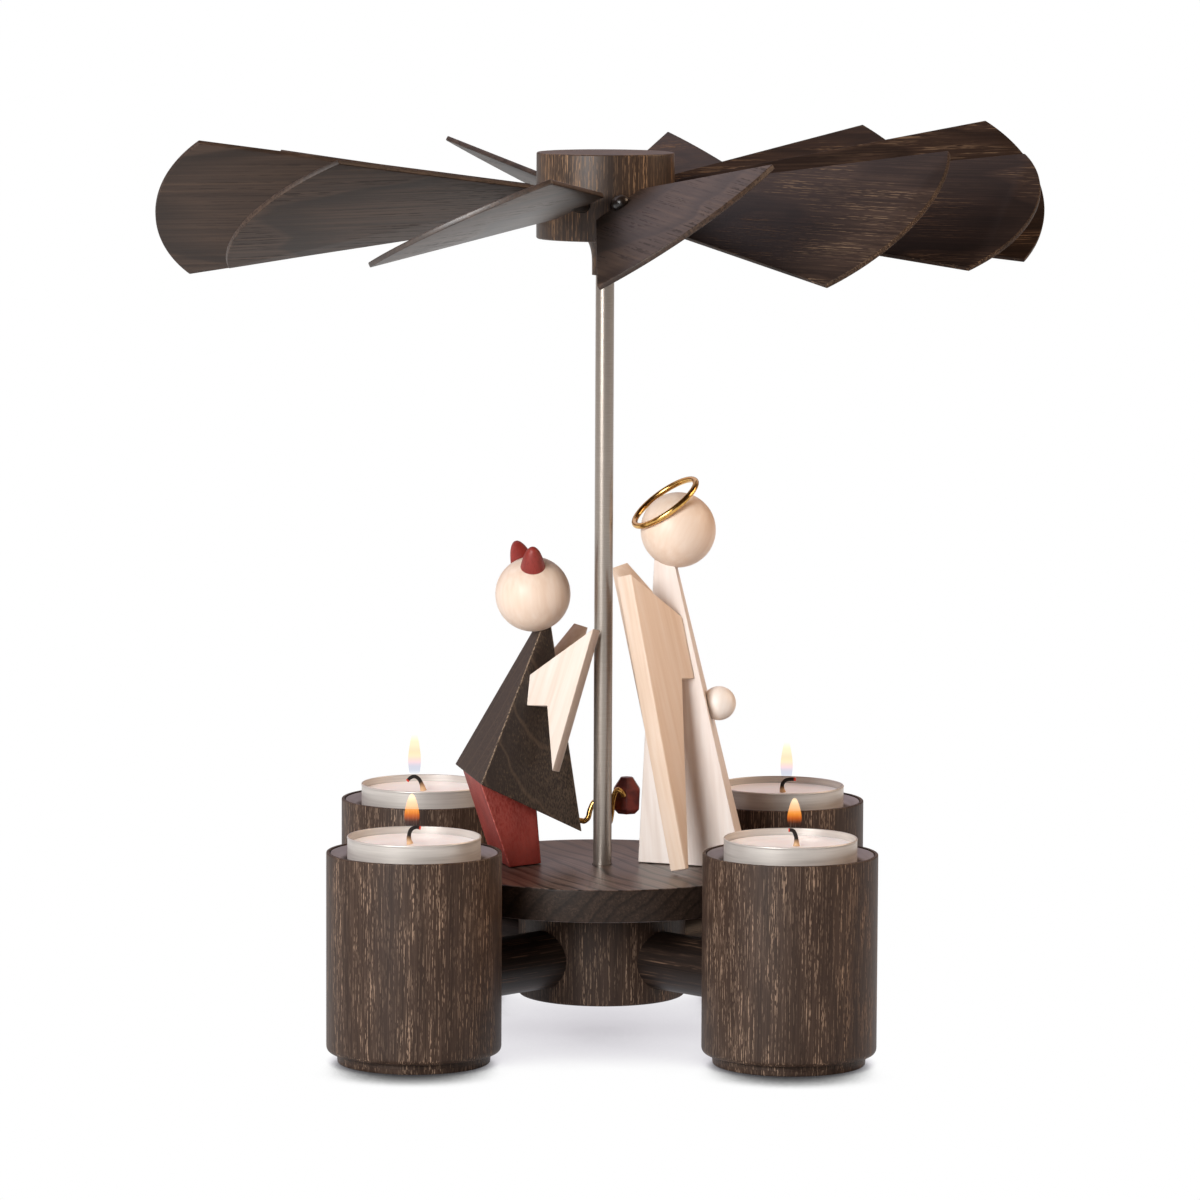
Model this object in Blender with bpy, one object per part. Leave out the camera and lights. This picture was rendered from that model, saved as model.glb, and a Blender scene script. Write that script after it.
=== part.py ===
import bmesh
import bpy
from math import asin, cos, pi, radians, sin, sqrt
from mathutils import Matrix, Vector

# Sizes are in metres. +Z is up and the front faces -Y.
FIT_GAP = 0.0003
RUN_GAP = 0.00008
SEGMENTS = 32
FINE_SEGMENTS = 48

# Tealights: standard 38 mm cups set the scale of everything else.
CUP_RADIUS = 0.0190
CUP_WALL = 0.0005
CUP_HEIGHT = 0.0172
WAX_BELOW_RIM = 0.0025
WICK_RADIUS = 0.0006
WICK_HEIGHT = 0.0055

# Candle holders, their feet and the dish liners that sit in them.
HOLDER_RADIUS = 0.0250
HOLDER_HEIGHT = 0.0605
HOLDER_OFFSET = 0.0535
HOLDER_EDGE = 0.0020
HOLDER_LIP = 0.0010
FOOT_INSET = 0.0030
FOOT_HEIGHT = 0.0030
LINER_SLACK = 0.0013
LINER_WALL = 0.0006
LINER_FLOOR_DEPTH = 0.0136
FLANGE_RISE = 0.0020
RIM_DROP = 0.0003

# Base body and the four dowel arms.
BASE_RADIUS = 0.0244
BASE_BOTTOM = 0.0107
BASE_TOP = 0.0386
BASE_EDGE = 0.0008
ARM_RADIUS = 0.00845
ARM_HEIGHT = 0.0233

# Shaft, bearing and platform.
SHAFT_RADIUS = 0.0027
SHAFT_POINT = 0.0050
BEARING_WALL = 0.0012
BEARING_FLOOR = 0.0160
BEARING_HEIGHT = 0.0037
BEARING_FLOOR_THICKNESS = 0.0010
BUSH_LENGTH = 0.0055
PLATFORM_RADIUS = 0.0490
PLATFORM_TOP = 0.0488
PLATFORM_THICKNESS = 0.0095
PLATFORM_EDGE = 0.0004

# Hub with a turned neck and a ring of peg holes.
HUB_RADIUS = 0.0200
HUB_TOP = 0.2570
HUB_HEIGHT = 0.0250
HUB_EDGE = 0.0006
HUB_CAP = 0.0027
NECK_LENGTH = 0.0105
NECK_WALL = 0.0008
NECK_ROOT_RADIUS = 0.0055

# Vanes: each sits in its hole with its own pitch, turn and small rise, all in degrees.
VANE_PITCHES = (41.2, 41.4, 32.6, 27.2, 22.0, 26.0, 42.8, 32.2, 24.3, 34.2, 37.4, 30.7)
VANE_TURNS = (
    11.1, 39.8, 69.5, 101.3, 130.4, 160.4, 188.1, 221.4, 250.6, 280.6, 310.8, 338.3
)
VANE_RISES = (1.3, -0.3, -0.3, 0.2, 0.0, 0.0, -0.7, 0.0, -0.2, -0.4, 0.1, 0.0)
VANE_DROP = 0.0144
VANE_INNER = 0.0225
VANE_OUTER = 0.1192
VANE_INNER_HALF = 0.0080
VANE_OUTER_HALF = 0.0292
VANE_END_RADIUS = 0.0440
VANE_THICKNESS = 0.0015
PEG_RADIUS = 0.0022
PEG_CLEARANCE = 0.00008
PEG_INNER = 0.0115
PEG_OUTER = 0.0300

# Both figures stand on the platform: local x is forward, y is left, z is up from the platform.
# Their spots are shares of the platform's radius.
HEAD_RADIUS = 0.0110
DEVIL_SPOT = (-0.5012, 0.0494)
DEVIL_TURN = 196.0
DEVIL_HEAD_BACK = 0.0041
DEVIL_HEAD_HEIGHT = 0.0791
ANGEL_SPOT = (0.4898, 0.0939)
ANGEL_TURN = -4.0
ANGEL_HEAD_BACK = 0.0023
ANGEL_HEAD_HEIGHT = 0.0980

# Coat: the hem slopes up to the front, HEM_HEIGHT at the origin.
HEM_HEIGHT = 0.01868
HEM_SLOPE = 0.5144
HEM_TILT = -0.0663
COAT_FRONT = 0.0154
COAT_FRONT_HALF = 0.0150
COAT_BACK = -0.0177
COAT_BACK_HALF = 0.0056
COAT_TOP = 0.0720
COAT_TOP_FRONT = -0.0071
COAT_TOP_FRONT_HALF = 0.00264
COAT_TOP_BACK = -0.00885
COAT_TOP_BACK_HALF = 0.00205
TROUSER_FRONT_HALF = 0.0103
TROUSER_BACK_HALF = 0.0054
TROUSER_FOOT = 0.0055
TROUSER_TOP_FRONT = 0.0143
TROUSER_TOP_BACK = -0.0041
HORN_RADIUS = 0.0036
HORN_TIP_RADIUS = 0.0022
HORN_REACH = 0.0195
HORN_NOSE = 0.0030
HORN_LEAN = (0.154, 0.538, 0.828)
DEVIL_WING_THICKNESS = 0.0050
DEVIL_WING_ANCHOR = (-0.00138, 0.00624, 0.05609)
DEVIL_WING_SWEEP = 48.6
DEVIL_WING_LEAN = 11.5
DEVIL_WING_OUTLINE = (
    (-0.0060, -0.0046),
    (0.0192, 0.01465),
    (0.0102, -0.0275),
    (0.0066, -0.0086),
    (-0.0060, -0.0092),
)
FAR_WING_SHIFT = (-0.0034, 0.0009, -0.0021)
TAIL_RADIUS = 0.0008
TAIL_HEIGHT = 0.0119
TAIL_PATH = (
    (-0.0060, 0.0080, 0.0116),
    (-0.0053, 0.0082, 0.0115),
    (-0.0042, 0.0085, 0.0125),
    (-0.0036, 0.0088, 0.0148),
    (-0.0024, 0.0091, 0.0170),
    (-0.0008, 0.0091, 0.0168),
    (0.0006, 0.0089, 0.0143),
    (0.0014, 0.0085, 0.0118),
    (0.0021, 0.0079, 0.0112),
    (0.0026, 0.0072, 0.0135),
    (0.0030, 0.0067, 0.0172),
    (0.0036, 0.0062, 0.0200),
    (0.0045, 0.0059, 0.0211),
    (0.0054, 0.0059, 0.0206),
    (0.0060, 0.0061, 0.0198),
    (0.0062, 0.0063, 0.0192),
)
TIP_PLACE = (0.0071, 0.0112, 0.0188)
TIP_RADIUS = 0.0045
TIP_HALF = 0.0054

# Gown, wings, halo and the ball held in front.
GOWN_BACK = -0.0133
GOWN_BACK_HALF = 0.0030
GOWN_FRONT = 0.0181
GOWN_FRONT_HALF = 0.0125
GOWN_TOP = 0.0920
GOWN_TOP_BACK = -0.00905
GOWN_TOP_BACK_HALF = 0.00155
GOWN_TOP_FRONT = -0.0039
GOWN_TOP_FRONT_HALF = 0.0034
ANGEL_WING_THICKNESS = 0.0060
ANGEL_WING_ANCHOR = (-0.00028, 0.00477, 0.07264)
ANGEL_WING_SWEEP = 40.1
ANGEL_WING_LEAN = 12.7
ANGEL_WING_OUTLINE = (
    (-0.0060, -0.00455),
    (0.01904, 0.01443),
    (0.01549, -0.0723),
    (0.01404, -0.0724),
    (0.00445, -0.01738),
    (-0.0080, -0.0185),
)
ANGEL_FAR_WING_SHIFT = (-0.0033, 0.0, -0.0003)
HALO_RADIUS = 0.0108
HALO_WIRE = 0.0009
HALO_NORMAL = (-0.57, -0.20, 0.80)
HALO_BACK = 0.0018
HALO_FORWARD = 0.0015
BALL_RADIUS = 0.0050
BALL_HEIGHT = 0.04716
BALL_REACH = 0.0031

for old in list(bpy.data.objects):
    bpy.data.objects.remove(old)
scene = bpy.context.scene
scene.unit_settings.system = "METRIC"
scene.unit_settings.scale_length = 1.0


def principled(name, colour, roughness, metallic=0.0):
    made = bpy.data.materials.new(name)
    made.use_nodes = True
    shader = made.node_tree.nodes["Principled BSDF"]
    shader.inputs["Base Color"].default_value = (*colour, 1.0)
    shader.inputs["Roughness"].default_value = roughness
    shader.inputs["Metallic"].default_value = metallic
    made.diffuse_color = (*colour, 1.0)
    return made


def empty(name, parent=None, location=(0, 0, 0), turn=0.0):
    made = bpy.data.objects.new(name, None)
    scene.collection.objects.link(made)
    made.parent = parent
    made.location = location
    made.rotation_euler = (0, 0, radians(turn))
    return made


def place(name, data, material, parent=None, location=(0, 0, 0), rotation=(0, 0, 0)):
    if not data.materials:
        data.materials.append(material)
    made = bpy.data.objects.new(name, data)
    scene.collection.objects.link(made)
    made.parent = parent
    made.location = location
    made.rotation_euler = rotation
    return made


def finish_mesh(name, work):
    bmesh.ops.recalc_face_normals(work, faces=work.faces)
    for face in work.faces:
        face.smooth = True
    for edge in work.edges:
        edge.smooth = len(edge.link_faces) == 2 and edge.calc_face_angle(0.0) < radians(35)
    mesh = bpy.data.meshes.new(name)
    work.to_mesh(mesh)
    work.free()
    return mesh


def turned(name, profile, segments=SEGMENTS):
    """A solid of revolution about z from (radius, height) points, both ends on the axis or closed."""
    work = bmesh.new()
    points = [work.verts.new((radius, 0, height)) for radius, height in profile]
    edges = [work.edges.new(pair) for pair in zip(points, points[1:])]
    if profile[0][0] > 0:
        edges.append(work.edges.new((points[-1], points[0])))
    bmesh.ops.spin(
        work,
        geom=points + edges,
        cent=(0, 0, 0),
        axis=(0, 0, 1),
        angle=2 * pi,
        steps=segments,
        use_merge=True,
    )
    bmesh.ops.remove_doubles(work, verts=work.verts, dist=1e-6)
    return finish_mesh(name, work)


def hull(name, points):
    work = bmesh.new()
    for point in points:
        work.verts.new(point)
    bmesh.ops.convex_hull(work, input=work.verts)
    bmesh.ops.dissolve_limit(work, angle_limit=radians(0.05), verts=work.verts, edges=work.edges)
    return finish_mesh(name, work)


def ball(name, radius, centre=(0, 0, 0), cut=None):
    """A sphere; cut is a (point, normal) plane and keeps the side that the normal points to."""
    work = bmesh.new()
    bmesh.ops.create_uvsphere(work, u_segments=24, v_segments=14, radius=radius)
    bmesh.ops.translate(work, verts=work.verts, vec=centre)
    if cut:
        trim(work, *cut)
    return finish_mesh(name, work)


def trim(work, point, normal):
    """Cuts everything behind the plane away and closes the cut."""
    bmesh.ops.bisect_plane(
        work,
        geom=work.verts[:] + work.edges[:] + work.faces[:],
        plane_co=point,
        plane_no=normal,
        clear_inner=True,
    )
    rim = [edge for edge in work.edges if len(edge.link_faces) == 1]
    bmesh.ops.contextual_create(work, geom=rim)


def plate(name, outline, thickness, to_local, cut=None):
    """A flat plate: the outline is its front face in (across, up), the thickness runs to the back."""
    work = bmesh.new()
    front = work.faces.new([work.verts.new((across, up, 0)) for across, up in outline])
    grown = bmesh.ops.extrude_face_region(work, geom=[front])["geom"]
    moved = [part for part in grown if isinstance(part, bmesh.types.BMVert)]
    bmesh.ops.translate(work, verts=moved, vec=(0, 0, -thickness))
    bmesh.ops.transform(work, matrix=to_local, verts=work.verts)
    if cut:
        trim(work, *cut)
    return finish_mesh(name, work)


def combined(name, mesh, others, operation):
    """The mesh after an exact Boolean with each of the other meshes."""
    body = bpy.data.objects.new(name, mesh)
    scene.collection.objects.link(body)
    helpers = []
    for other in others:
        helper = bpy.data.objects.new(name + "_helper", other)
        helper.hide_render = True
        helper.display_type = "WIRE"
        scene.collection.objects.link(helper)
        helpers.append(helper)
        step = body.modifiers.new("combine", "BOOLEAN")
        step.operation = operation
        step.solver = "EXACT"
        step.object = helper
    bpy.context.view_layer.update()
    graph = bpy.context.evaluated_depsgraph_get()
    made = bpy.data.meshes.new_from_object(body.evaluated_get(graph))
    for helper in helpers + [body]:
        bpy.data.objects.remove(helper)
    work = bmesh.new()
    work.from_mesh(made)
    return finish_mesh(name, work)


def tube(name, points, radius, sides=2):
    made = bpy.data.curves.new(name, "CURVE")
    made.dimensions = "3D"
    made.bevel_depth = radius
    made.bevel_resolution = sides
    made.use_fill_caps = True
    line = made.splines.new("POLY")
    line.points.add(len(points) - 1)
    for target, point in zip(line.points, points):
        target.co = (*point, 1.0)
    return made


def side_plane(points, inner, gap):
    """The (point, normal) of the flat side through three points, pushed out past them all by a gap."""
    normal = (points[1] - points[0]).cross(points[2] - points[0]).normalized()
    if normal.dot(points[0] - inner) < 0:
        normal = -normal
    reach = max(normal.dot(point) for point in points) + gap
    return normal * reach, normal


def wing_frame(anchor, sweep, lean, side):
    """Front face of a wing: swept back from the side, leaning so that the face looks a little up."""
    face = Vector((
        cos(radians(lean)) * cos(radians(sweep)),
        side * cos(radians(lean)) * sin(radians(sweep)),
        sin(radians(lean)),
    ))
    across = Vector((-sin(radians(sweep)), side * cos(radians(sweep)), 0))
    up = face.cross(across) * side
    columns = (across, up, face)
    frame = Matrix((
        (columns[0].x, columns[1].x, columns[2].x, anchor[0]),
        (columns[0].y, columns[1].y, columns[2].y, side * anchor[1]),
        (columns[0].z, columns[1].z, columns[2].z, anchor[2]),
        (0, 0, 0, 1),
    ))
    return frame


dark_wood = principled("smoked_ash", (0.065, 0.042, 0.030), 0.45)
blade_wood = principled("smoked_ash_vane", (0.070, 0.046, 0.033), 0.45)
pale_wood = principled("maple", (0.62, 0.44, 0.27), 0.50)
white_wood = principled("white_stained_wood", (0.72, 0.68, 0.62), 0.55)
red_paint = principled("red_paint", (0.34, 0.045, 0.035), 0.55)
bead_red = principled("dark_red_paint", (0.13, 0.010, 0.012), 0.35)
brass = principled("brass", (0.75, 0.52, 0.20), 0.20, 1.0)
steel = principled("steel", (0.60, 0.58, 0.55), 0.30, 1.0)
cup_metal = principled("cup_aluminium", (0.70, 0.70, 0.70), 0.35, 1.0)
liner_metal = principled("liner_aluminium", (0.62, 0.62, 0.62), 0.45, 1.0)
wax = principled("wax", (0.86, 0.80, 0.76), 0.40)
wick_cotton = principled("wick_cotton", (0.02, 0.016, 0.014), 0.90)
glass = principled("bearing_glass", (0.55, 0.65, 0.62), 0.10)

rotor = empty("rotor")
devil_place = Vector((*DEVIL_SPOT, 0)) * PLATFORM_RADIUS
angel_place = Vector((*ANGEL_SPOT, 0)) * PLATFORM_RADIUS
devil = empty("devil", rotor, (devil_place.x, devil_place.y, PLATFORM_TOP), DEVIL_TURN)
angel = empty("angel", rotor, (angel_place.x, angel_place.y, PLATFORM_TOP), ANGEL_TURN)

# Base body: a plain cylinder with a blind bore for the bearing.
bearing_radius = SHAFT_RADIUS + BEARING_WALL
bore = bearing_radius + FIT_GAP
base_mesh = turned("base_body", [
    (0, BASE_BOTTOM),
    (BASE_RADIUS - BASE_EDGE, BASE_BOTTOM),
    (BASE_RADIUS, BASE_BOTTOM + BASE_EDGE),
    (BASE_RADIUS, BASE_TOP - BASE_EDGE),
    (BASE_RADIUS - BASE_EDGE, BASE_TOP),
    (bore, BASE_TOP),
    (bore, BEARING_FLOOR),
    (0, BEARING_FLOOR),
], FINE_SEGMENTS)
place("base_body", base_mesh, dark_wood)

# Bearing cup with a conical seat, and the bush that keeps the shaft upright.
cup_bottom = BEARING_FLOOR + FIT_GAP
cup_top = cup_bottom + BEARING_HEIGHT
seat = cup_bottom + BEARING_FLOOR_THICKNESS
place("bearing_cup", turned("bearing_cup", [
    (0, cup_bottom),
    (bearing_radius, cup_bottom),
    (bearing_radius, cup_top),
    (SHAFT_RADIUS, cup_top),
    (0, seat),
]), glass)
bush_top = BASE_TOP - FIT_GAP
place("guide_bush", turned("guide_bush", [
    (SHAFT_RADIUS + RUN_GAP, bush_top - BUSH_LENGTH),
    (bearing_radius, bush_top - BUSH_LENGTH),
    (bearing_radius, bush_top),
    (SHAFT_RADIUS + RUN_GAP, bush_top),
]), brass)

# Candle holders stand on the corners of a square; the arms reach them along its diagonals.
holder_places = [
    Vector((HOLDER_OFFSET * x, HOLDER_OFFSET * y, 0))
    for x, y in ((-1, -1), (1, -1), (1, 1), (-1, 1))
]
reach = sqrt(2) * HOLDER_OFFSET
arm_mesh = turned("arm", [(0, 0), (ARM_RADIUS, 0), (ARM_RADIUS, reach), (0, reach)], 24)
arm_mesh.transform(Matrix.Translation((0, 0, ARM_HEIGHT)) @ Matrix.Rotation(pi / 2, 4, "Y"))
post_heights = (ARM_HEIGHT - 2 * ARM_RADIUS, ARM_HEIGHT + 2 * ARM_RADIUS)
base_post = turned("base_post", [
    (0, post_heights[0]),
    (BASE_RADIUS + FIT_GAP, post_heights[0]),
    (BASE_RADIUS + FIT_GAP, post_heights[1]),
    (0, post_heights[1]),
], FINE_SEGMENTS)
holder_post = turned("holder_post", [
    (0, post_heights[0]),
    (HOLDER_RADIUS + FIT_GAP, post_heights[0]),
    (HOLDER_RADIUS + FIT_GAP, post_heights[1]),
    (0, post_heights[1]),
], FINE_SEGMENTS)
holder_post.transform(Matrix.Translation((reach, 0, 0)))
arm_mesh = combined("arm", arm_mesh, [base_post, holder_post], "DIFFERENCE")

# Liner: a dish with a sloping flange, inside a stepped recess of the holder.
liner_inside = CUP_RADIUS + LINER_SLACK
liner_outside = liner_inside + LINER_WALL
flange_radius = HOLDER_RADIUS - HOLDER_LIP - FIT_GAP
flange_top = HOLDER_HEIGHT - RIM_DROP
throat_top = flange_top - FLANGE_RISE
liner_floor = HOLDER_HEIGHT - LINER_FLOOR_DEPTH
pocket = liner_outside + FIT_GAP
recess = flange_radius + FIT_GAP
holder_mesh = turned("holder", [
    (0, 0),
    (HOLDER_RADIUS - FOOT_INSET, 0),
    (HOLDER_RADIUS - FOOT_INSET, FOOT_HEIGHT),
    (HOLDER_RADIUS - HOLDER_EDGE, FOOT_HEIGHT),
    (HOLDER_RADIUS - HOLDER_EDGE * 0.29, FOOT_HEIGHT + HOLDER_EDGE * 0.29),
    (HOLDER_RADIUS, FOOT_HEIGHT + HOLDER_EDGE),
    (HOLDER_RADIUS, HOLDER_HEIGHT - RIM_DROP),
    (HOLDER_RADIUS - RIM_DROP, HOLDER_HEIGHT),
    (recess, HOLDER_HEIGHT),
    (recess, flange_top - LINER_WALL - FIT_GAP),
    (pocket, throat_top - LINER_WALL - FIT_GAP),
    (pocket, liner_floor - FIT_GAP),
    (0, liner_floor - FIT_GAP),
])
liner_mesh = turned("holder_insert", [
    (0, liner_floor),
    (liner_outside, liner_floor),
    (liner_outside, throat_top - LINER_WALL),
    (flange_radius, flange_top - LINER_WALL),
    (flange_radius, flange_top),
    (liner_inside, throat_top),
    (liner_inside, liner_floor + LINER_WALL),
    (0, liner_floor + LINER_WALL),
])

# Tealight: a thin cup, a wax fill and a bent wick.
cup_base = liner_floor + LINER_WALL + FIT_GAP
cup_rim = cup_base + CUP_HEIGHT
wax_top = cup_rim - WAX_BELOW_RIM
cup_mesh = turned("tealight_cup", [
    (0, cup_base),
    (CUP_RADIUS - CUP_WALL, cup_base),
    (CUP_RADIUS, cup_base + CUP_WALL),
    (CUP_RADIUS, cup_rim),
    (CUP_RADIUS - CUP_WALL, cup_rim),
    (CUP_RADIUS - CUP_WALL, cup_base + CUP_WALL),
    (0, cup_base + CUP_WALL),
])
wax_radius = CUP_RADIUS - CUP_WALL - FIT_GAP
wax_mesh = turned("wax", [
    (0, cup_base + CUP_WALL + FIT_GAP),
    (wax_radius, cup_base + CUP_WALL + FIT_GAP),
    (wax_radius, wax_top),
    (0, wax_top),
])
wick_leans = ((0.30, 0.0), (-0.30, 0.0), (0.25, 0.1), (-0.35, 0.1))
for number, (spot, lean) in enumerate(zip(holder_places, wick_leans), 1):
    turn = pi * (2 * number + 3) / 4
    place(f"arm_{number}", arm_mesh, dark_wood, None, (0, 0, 0), (0, 0, turn))
    place(f"holder_{number}", holder_mesh, dark_wood, None, spot)
    place(f"holder_insert_{number}", liner_mesh, liner_metal, None, spot)
    candle = empty(f"tealight_{number}", None, spot)
    place(f"tealight_cup_{number}", cup_mesh, cup_metal, candle)
    place(f"wax_{number}", wax_mesh, wax, candle)
    wick_path = []
    for share in (0.0, 0.35, 0.7, 1.0):
        bend = WICK_HEIGHT * share * share
        wick_path.append((lean[0] * bend, lean[1] * bend, wax_top + FIT_GAP + WICK_HEIGHT * share))
    place(f"wick_{number}", tube(f"wick_{number}", wick_path, WICK_RADIUS), wick_cotton, candle)

# Shaft: a rod ending in a point that stands in the bearing cup.
bore_radius = SHAFT_RADIUS + FIT_GAP
shaft_tip = seat + FIT_GAP
shaft_top = HUB_TOP - HUB_CAP - FIT_GAP
place("shaft", turned("shaft", [
    (0, shaft_tip),
    (SHAFT_RADIUS, shaft_tip + SHAFT_POINT),
    (SHAFT_RADIUS, shaft_top),
    (0, shaft_top),
], 24), steel, rotor)

platform_bottom = PLATFORM_TOP - PLATFORM_THICKNESS
place("platform", turned("platform", [
    (bore_radius, platform_bottom),
    (PLATFORM_RADIUS - PLATFORM_EDGE, platform_bottom),
    (PLATFORM_RADIUS, platform_bottom + PLATFORM_EDGE),
    (PLATFORM_RADIUS, PLATFORM_TOP - PLATFORM_EDGE),
    (PLATFORM_RADIUS - PLATFORM_EDGE, PLATFORM_TOP),
    (bore_radius, PLATFORM_TOP),
], 64), dark_wood, rotor)

# Hub: a drum with a hollow-curved neck below and one peg hole for each vane.
hub_bottom = HUB_TOP - HUB_HEIGHT
vane_axis = HUB_TOP - VANE_DROP
neck_bottom = hub_bottom - NECK_LENGTH
neck_radius = bore_radius + NECK_WALL
neck_curve = []
for step in range(6):
    share = step / 5
    flare = (NECK_ROOT_RADIUS - neck_radius) * share ** 3
    neck_curve.append((neck_radius + flare, hub_bottom - NECK_LENGTH * 0.8 * (1 - share)))
hub_mesh = turned("hub", [
    (bore_radius, neck_bottom),
    (neck_radius, neck_bottom),
    *neck_curve,
    (HUB_RADIUS - HUB_EDGE, hub_bottom),
    (HUB_RADIUS, hub_bottom + HUB_EDGE),
    (HUB_RADIUS, HUB_TOP - HUB_EDGE),
    (HUB_RADIUS - HUB_EDGE, HUB_TOP),
    (0, HUB_TOP),
    (0, shaft_top + FIT_GAP),
    (bore_radius, shaft_top + FIT_GAP),
], FINE_SEGMENTS)
hole_work = bmesh.new()
for turn, rise in zip(VANE_TURNS, VANE_RISES):
    inner = PEG_INNER - FIT_GAP
    outer = HUB_RADIUS * 1.05
    around = Matrix.Rotation(radians(turn), 4, "Z") @ Matrix.Translation((0, 0, vane_axis))
    along = Matrix.Rotation(-radians(rise), 4, "Y") @ Matrix.Translation(((inner + outer) / 2, 0, 0))
    bmesh.ops.create_cone(
        hole_work,
        cap_ends=True,
        segments=24,
        radius1=PEG_RADIUS + PEG_CLEARANCE,
        radius2=PEG_RADIUS + PEG_CLEARANCE,
        depth=outer - inner,
        matrix=around @ along @ Matrix.Rotation(pi / 2, 4, "Y"),
    )
holes = finish_mesh("peg_holes", hole_work)
place("hub", combined("hub", hub_mesh, [holes], "DIFFERENCE"), dark_wood, rotor)

# Vane: a flat blade with a rounded outer end, one with its peg.
end_half_angle = asin(VANE_OUTER_HALF / VANE_END_RADIUS)
end_centre = VANE_OUTER - VANE_END_RADIUS * cos(end_half_angle)
blade = [(VANE_INNER, -VANE_INNER_HALF)]
for step in range(13):
    angle = end_half_angle * (step / 6 - 1)
    blade.append((end_centre + VANE_END_RADIUS * cos(angle), VANE_END_RADIUS * sin(angle)))
blade.append((VANE_INNER, VANE_INNER_HALF))
blade_mesh = plate("vane", blade, VANE_THICKNESS, Matrix.Translation((0, 0, VANE_THICKNESS / 2)))
peg_mesh = turned("peg", [
    (0, PEG_INNER),
    (PEG_RADIUS, PEG_INNER),
    (PEG_RADIUS, PEG_OUTER),
    (PEG_RADIUS * 0.8, PEG_OUTER + PEG_RADIUS * 0.6),
    (0, PEG_OUTER + PEG_RADIUS),
], 24)
peg_mesh.transform(Matrix.Rotation(pi / 2, 4, "Y"))
vane_mesh = combined("vane", blade_mesh, [peg_mesh], "UNION")
for number, (pitch, turn, rise) in enumerate(zip(VANE_PITCHES, VANE_TURNS, VANE_RISES), 1):
    angles = (radians(pitch), -radians(rise), radians(turn))
    place(f"vane_{number:02d}", vane_mesh, blade_wood, rotor, (0, 0, vane_axis), angles)


def hem(forward, left):
    return HEM_HEIGHT + HEM_SLOPE * forward + HEM_TILT * left


# Devil: trousers under a sloping coat, ball head with two horns, two wings and a wire tail.
devil_head = Vector((-DEVIL_HEAD_BACK, 0, DEVIL_HEAD_HEIGHT))
head_cut = ball("head_cut", HEAD_RADIUS + FIT_GAP, devil_head)
coat_side = [
    Vector((COAT_FRONT, COAT_FRONT_HALF, hem(COAT_FRONT, COAT_FRONT_HALF))),
    Vector((COAT_BACK, COAT_BACK_HALF, hem(COAT_BACK, COAT_BACK_HALF))),
    Vector((COAT_TOP_FRONT, COAT_TOP_FRONT_HALF, COAT_TOP)),
    Vector((COAT_TOP_BACK, COAT_TOP_BACK_HALF, COAT_TOP)),
]
far_side = [Vector((point.x, -point.y, point.z)) for point in coat_side]
for point in far_side[:2]:
    point.z = hem(point.x, point.y)
coat_mesh = hull("devil_coat", coat_side + far_side)
place("devil_coat", combined("devil_coat", coat_mesh, [head_cut], "DIFFERENCE"), dark_wood, devil)
place("devil_head", ball("devil_head", HEAD_RADIUS), pale_wood, devil, devil_head)
hem_gap = FIT_GAP * sqrt(1 + HEM_SLOPE ** 2 + HEM_TILT ** 2)
legs = []
for side in (1, -1):
    legs.append((TROUSER_FOOT, side * TROUSER_FRONT_HALF, FIT_GAP))
    legs.append((-TROUSER_FOOT, side * TROUSER_BACK_HALF, FIT_GAP))
    for forward, half in (
        (TROUSER_TOP_FRONT, TROUSER_FRONT_HALF),
        (TROUSER_TOP_BACK, TROUSER_BACK_HALF),
    ):
        legs.append((forward, side * half, hem(forward, side * half) - hem_gap))
place("devil_trousers", hull("devil_trousers", legs), red_paint, devil)

horn_mesh = turned("horn", [
    (0, HEAD_RADIUS * 0.6),
    (HORN_RADIUS, HEAD_RADIUS * 0.6),
    (HORN_RADIUS, HEAD_RADIUS * 1.15),
    (HORN_TIP_RADIUS * 0.55 + HORN_RADIUS * 0.45, (HORN_REACH - HORN_NOSE + HEAD_RADIUS * 1.15) / 2),
    (HORN_TIP_RADIUS, HORN_REACH - HORN_NOSE * 0.6),
    (HORN_TIP_RADIUS * 0.72, HORN_REACH - HORN_NOSE * 0.22),
    (HORN_TIP_RADIUS * 0.35, HORN_REACH - HORN_NOSE * 0.04),
    (0, HORN_REACH),
], 20)
horn_cut = ball("horn_cut", HEAD_RADIUS + FIT_GAP)
horn_mesh = combined("horn", horn_mesh, [horn_cut], "DIFFERENCE")
for name, side in (("devil_horn_left", 1), ("devil_horn_right", -1)):
    lean = Vector((HORN_LEAN[0], side * HORN_LEAN[1], HORN_LEAN[2]))
    place(name, horn_mesh, red_paint, devil, devil_head, lean.to_track_quat("Z", "Y").to_euler())

for name, side, points in (("devil_wing_left", 1, coat_side), ("devil_wing_right", -1, far_side)):
    cut = side_plane(points, Vector((0, 0, HEM_HEIGHT * 2)), FIT_GAP)
    frame = wing_frame(DEVIL_WING_ANCHOR, DEVIL_WING_SWEEP, DEVIL_WING_LEAN, side)
    if side < 0:
        frame = Matrix.Translation(FAR_WING_SHIFT) @ frame
    place(name, plate(name, DEVIL_WING_OUTLINE, DEVIL_WING_THICKNESS, frame, cut), pale_wood, devil)

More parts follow.
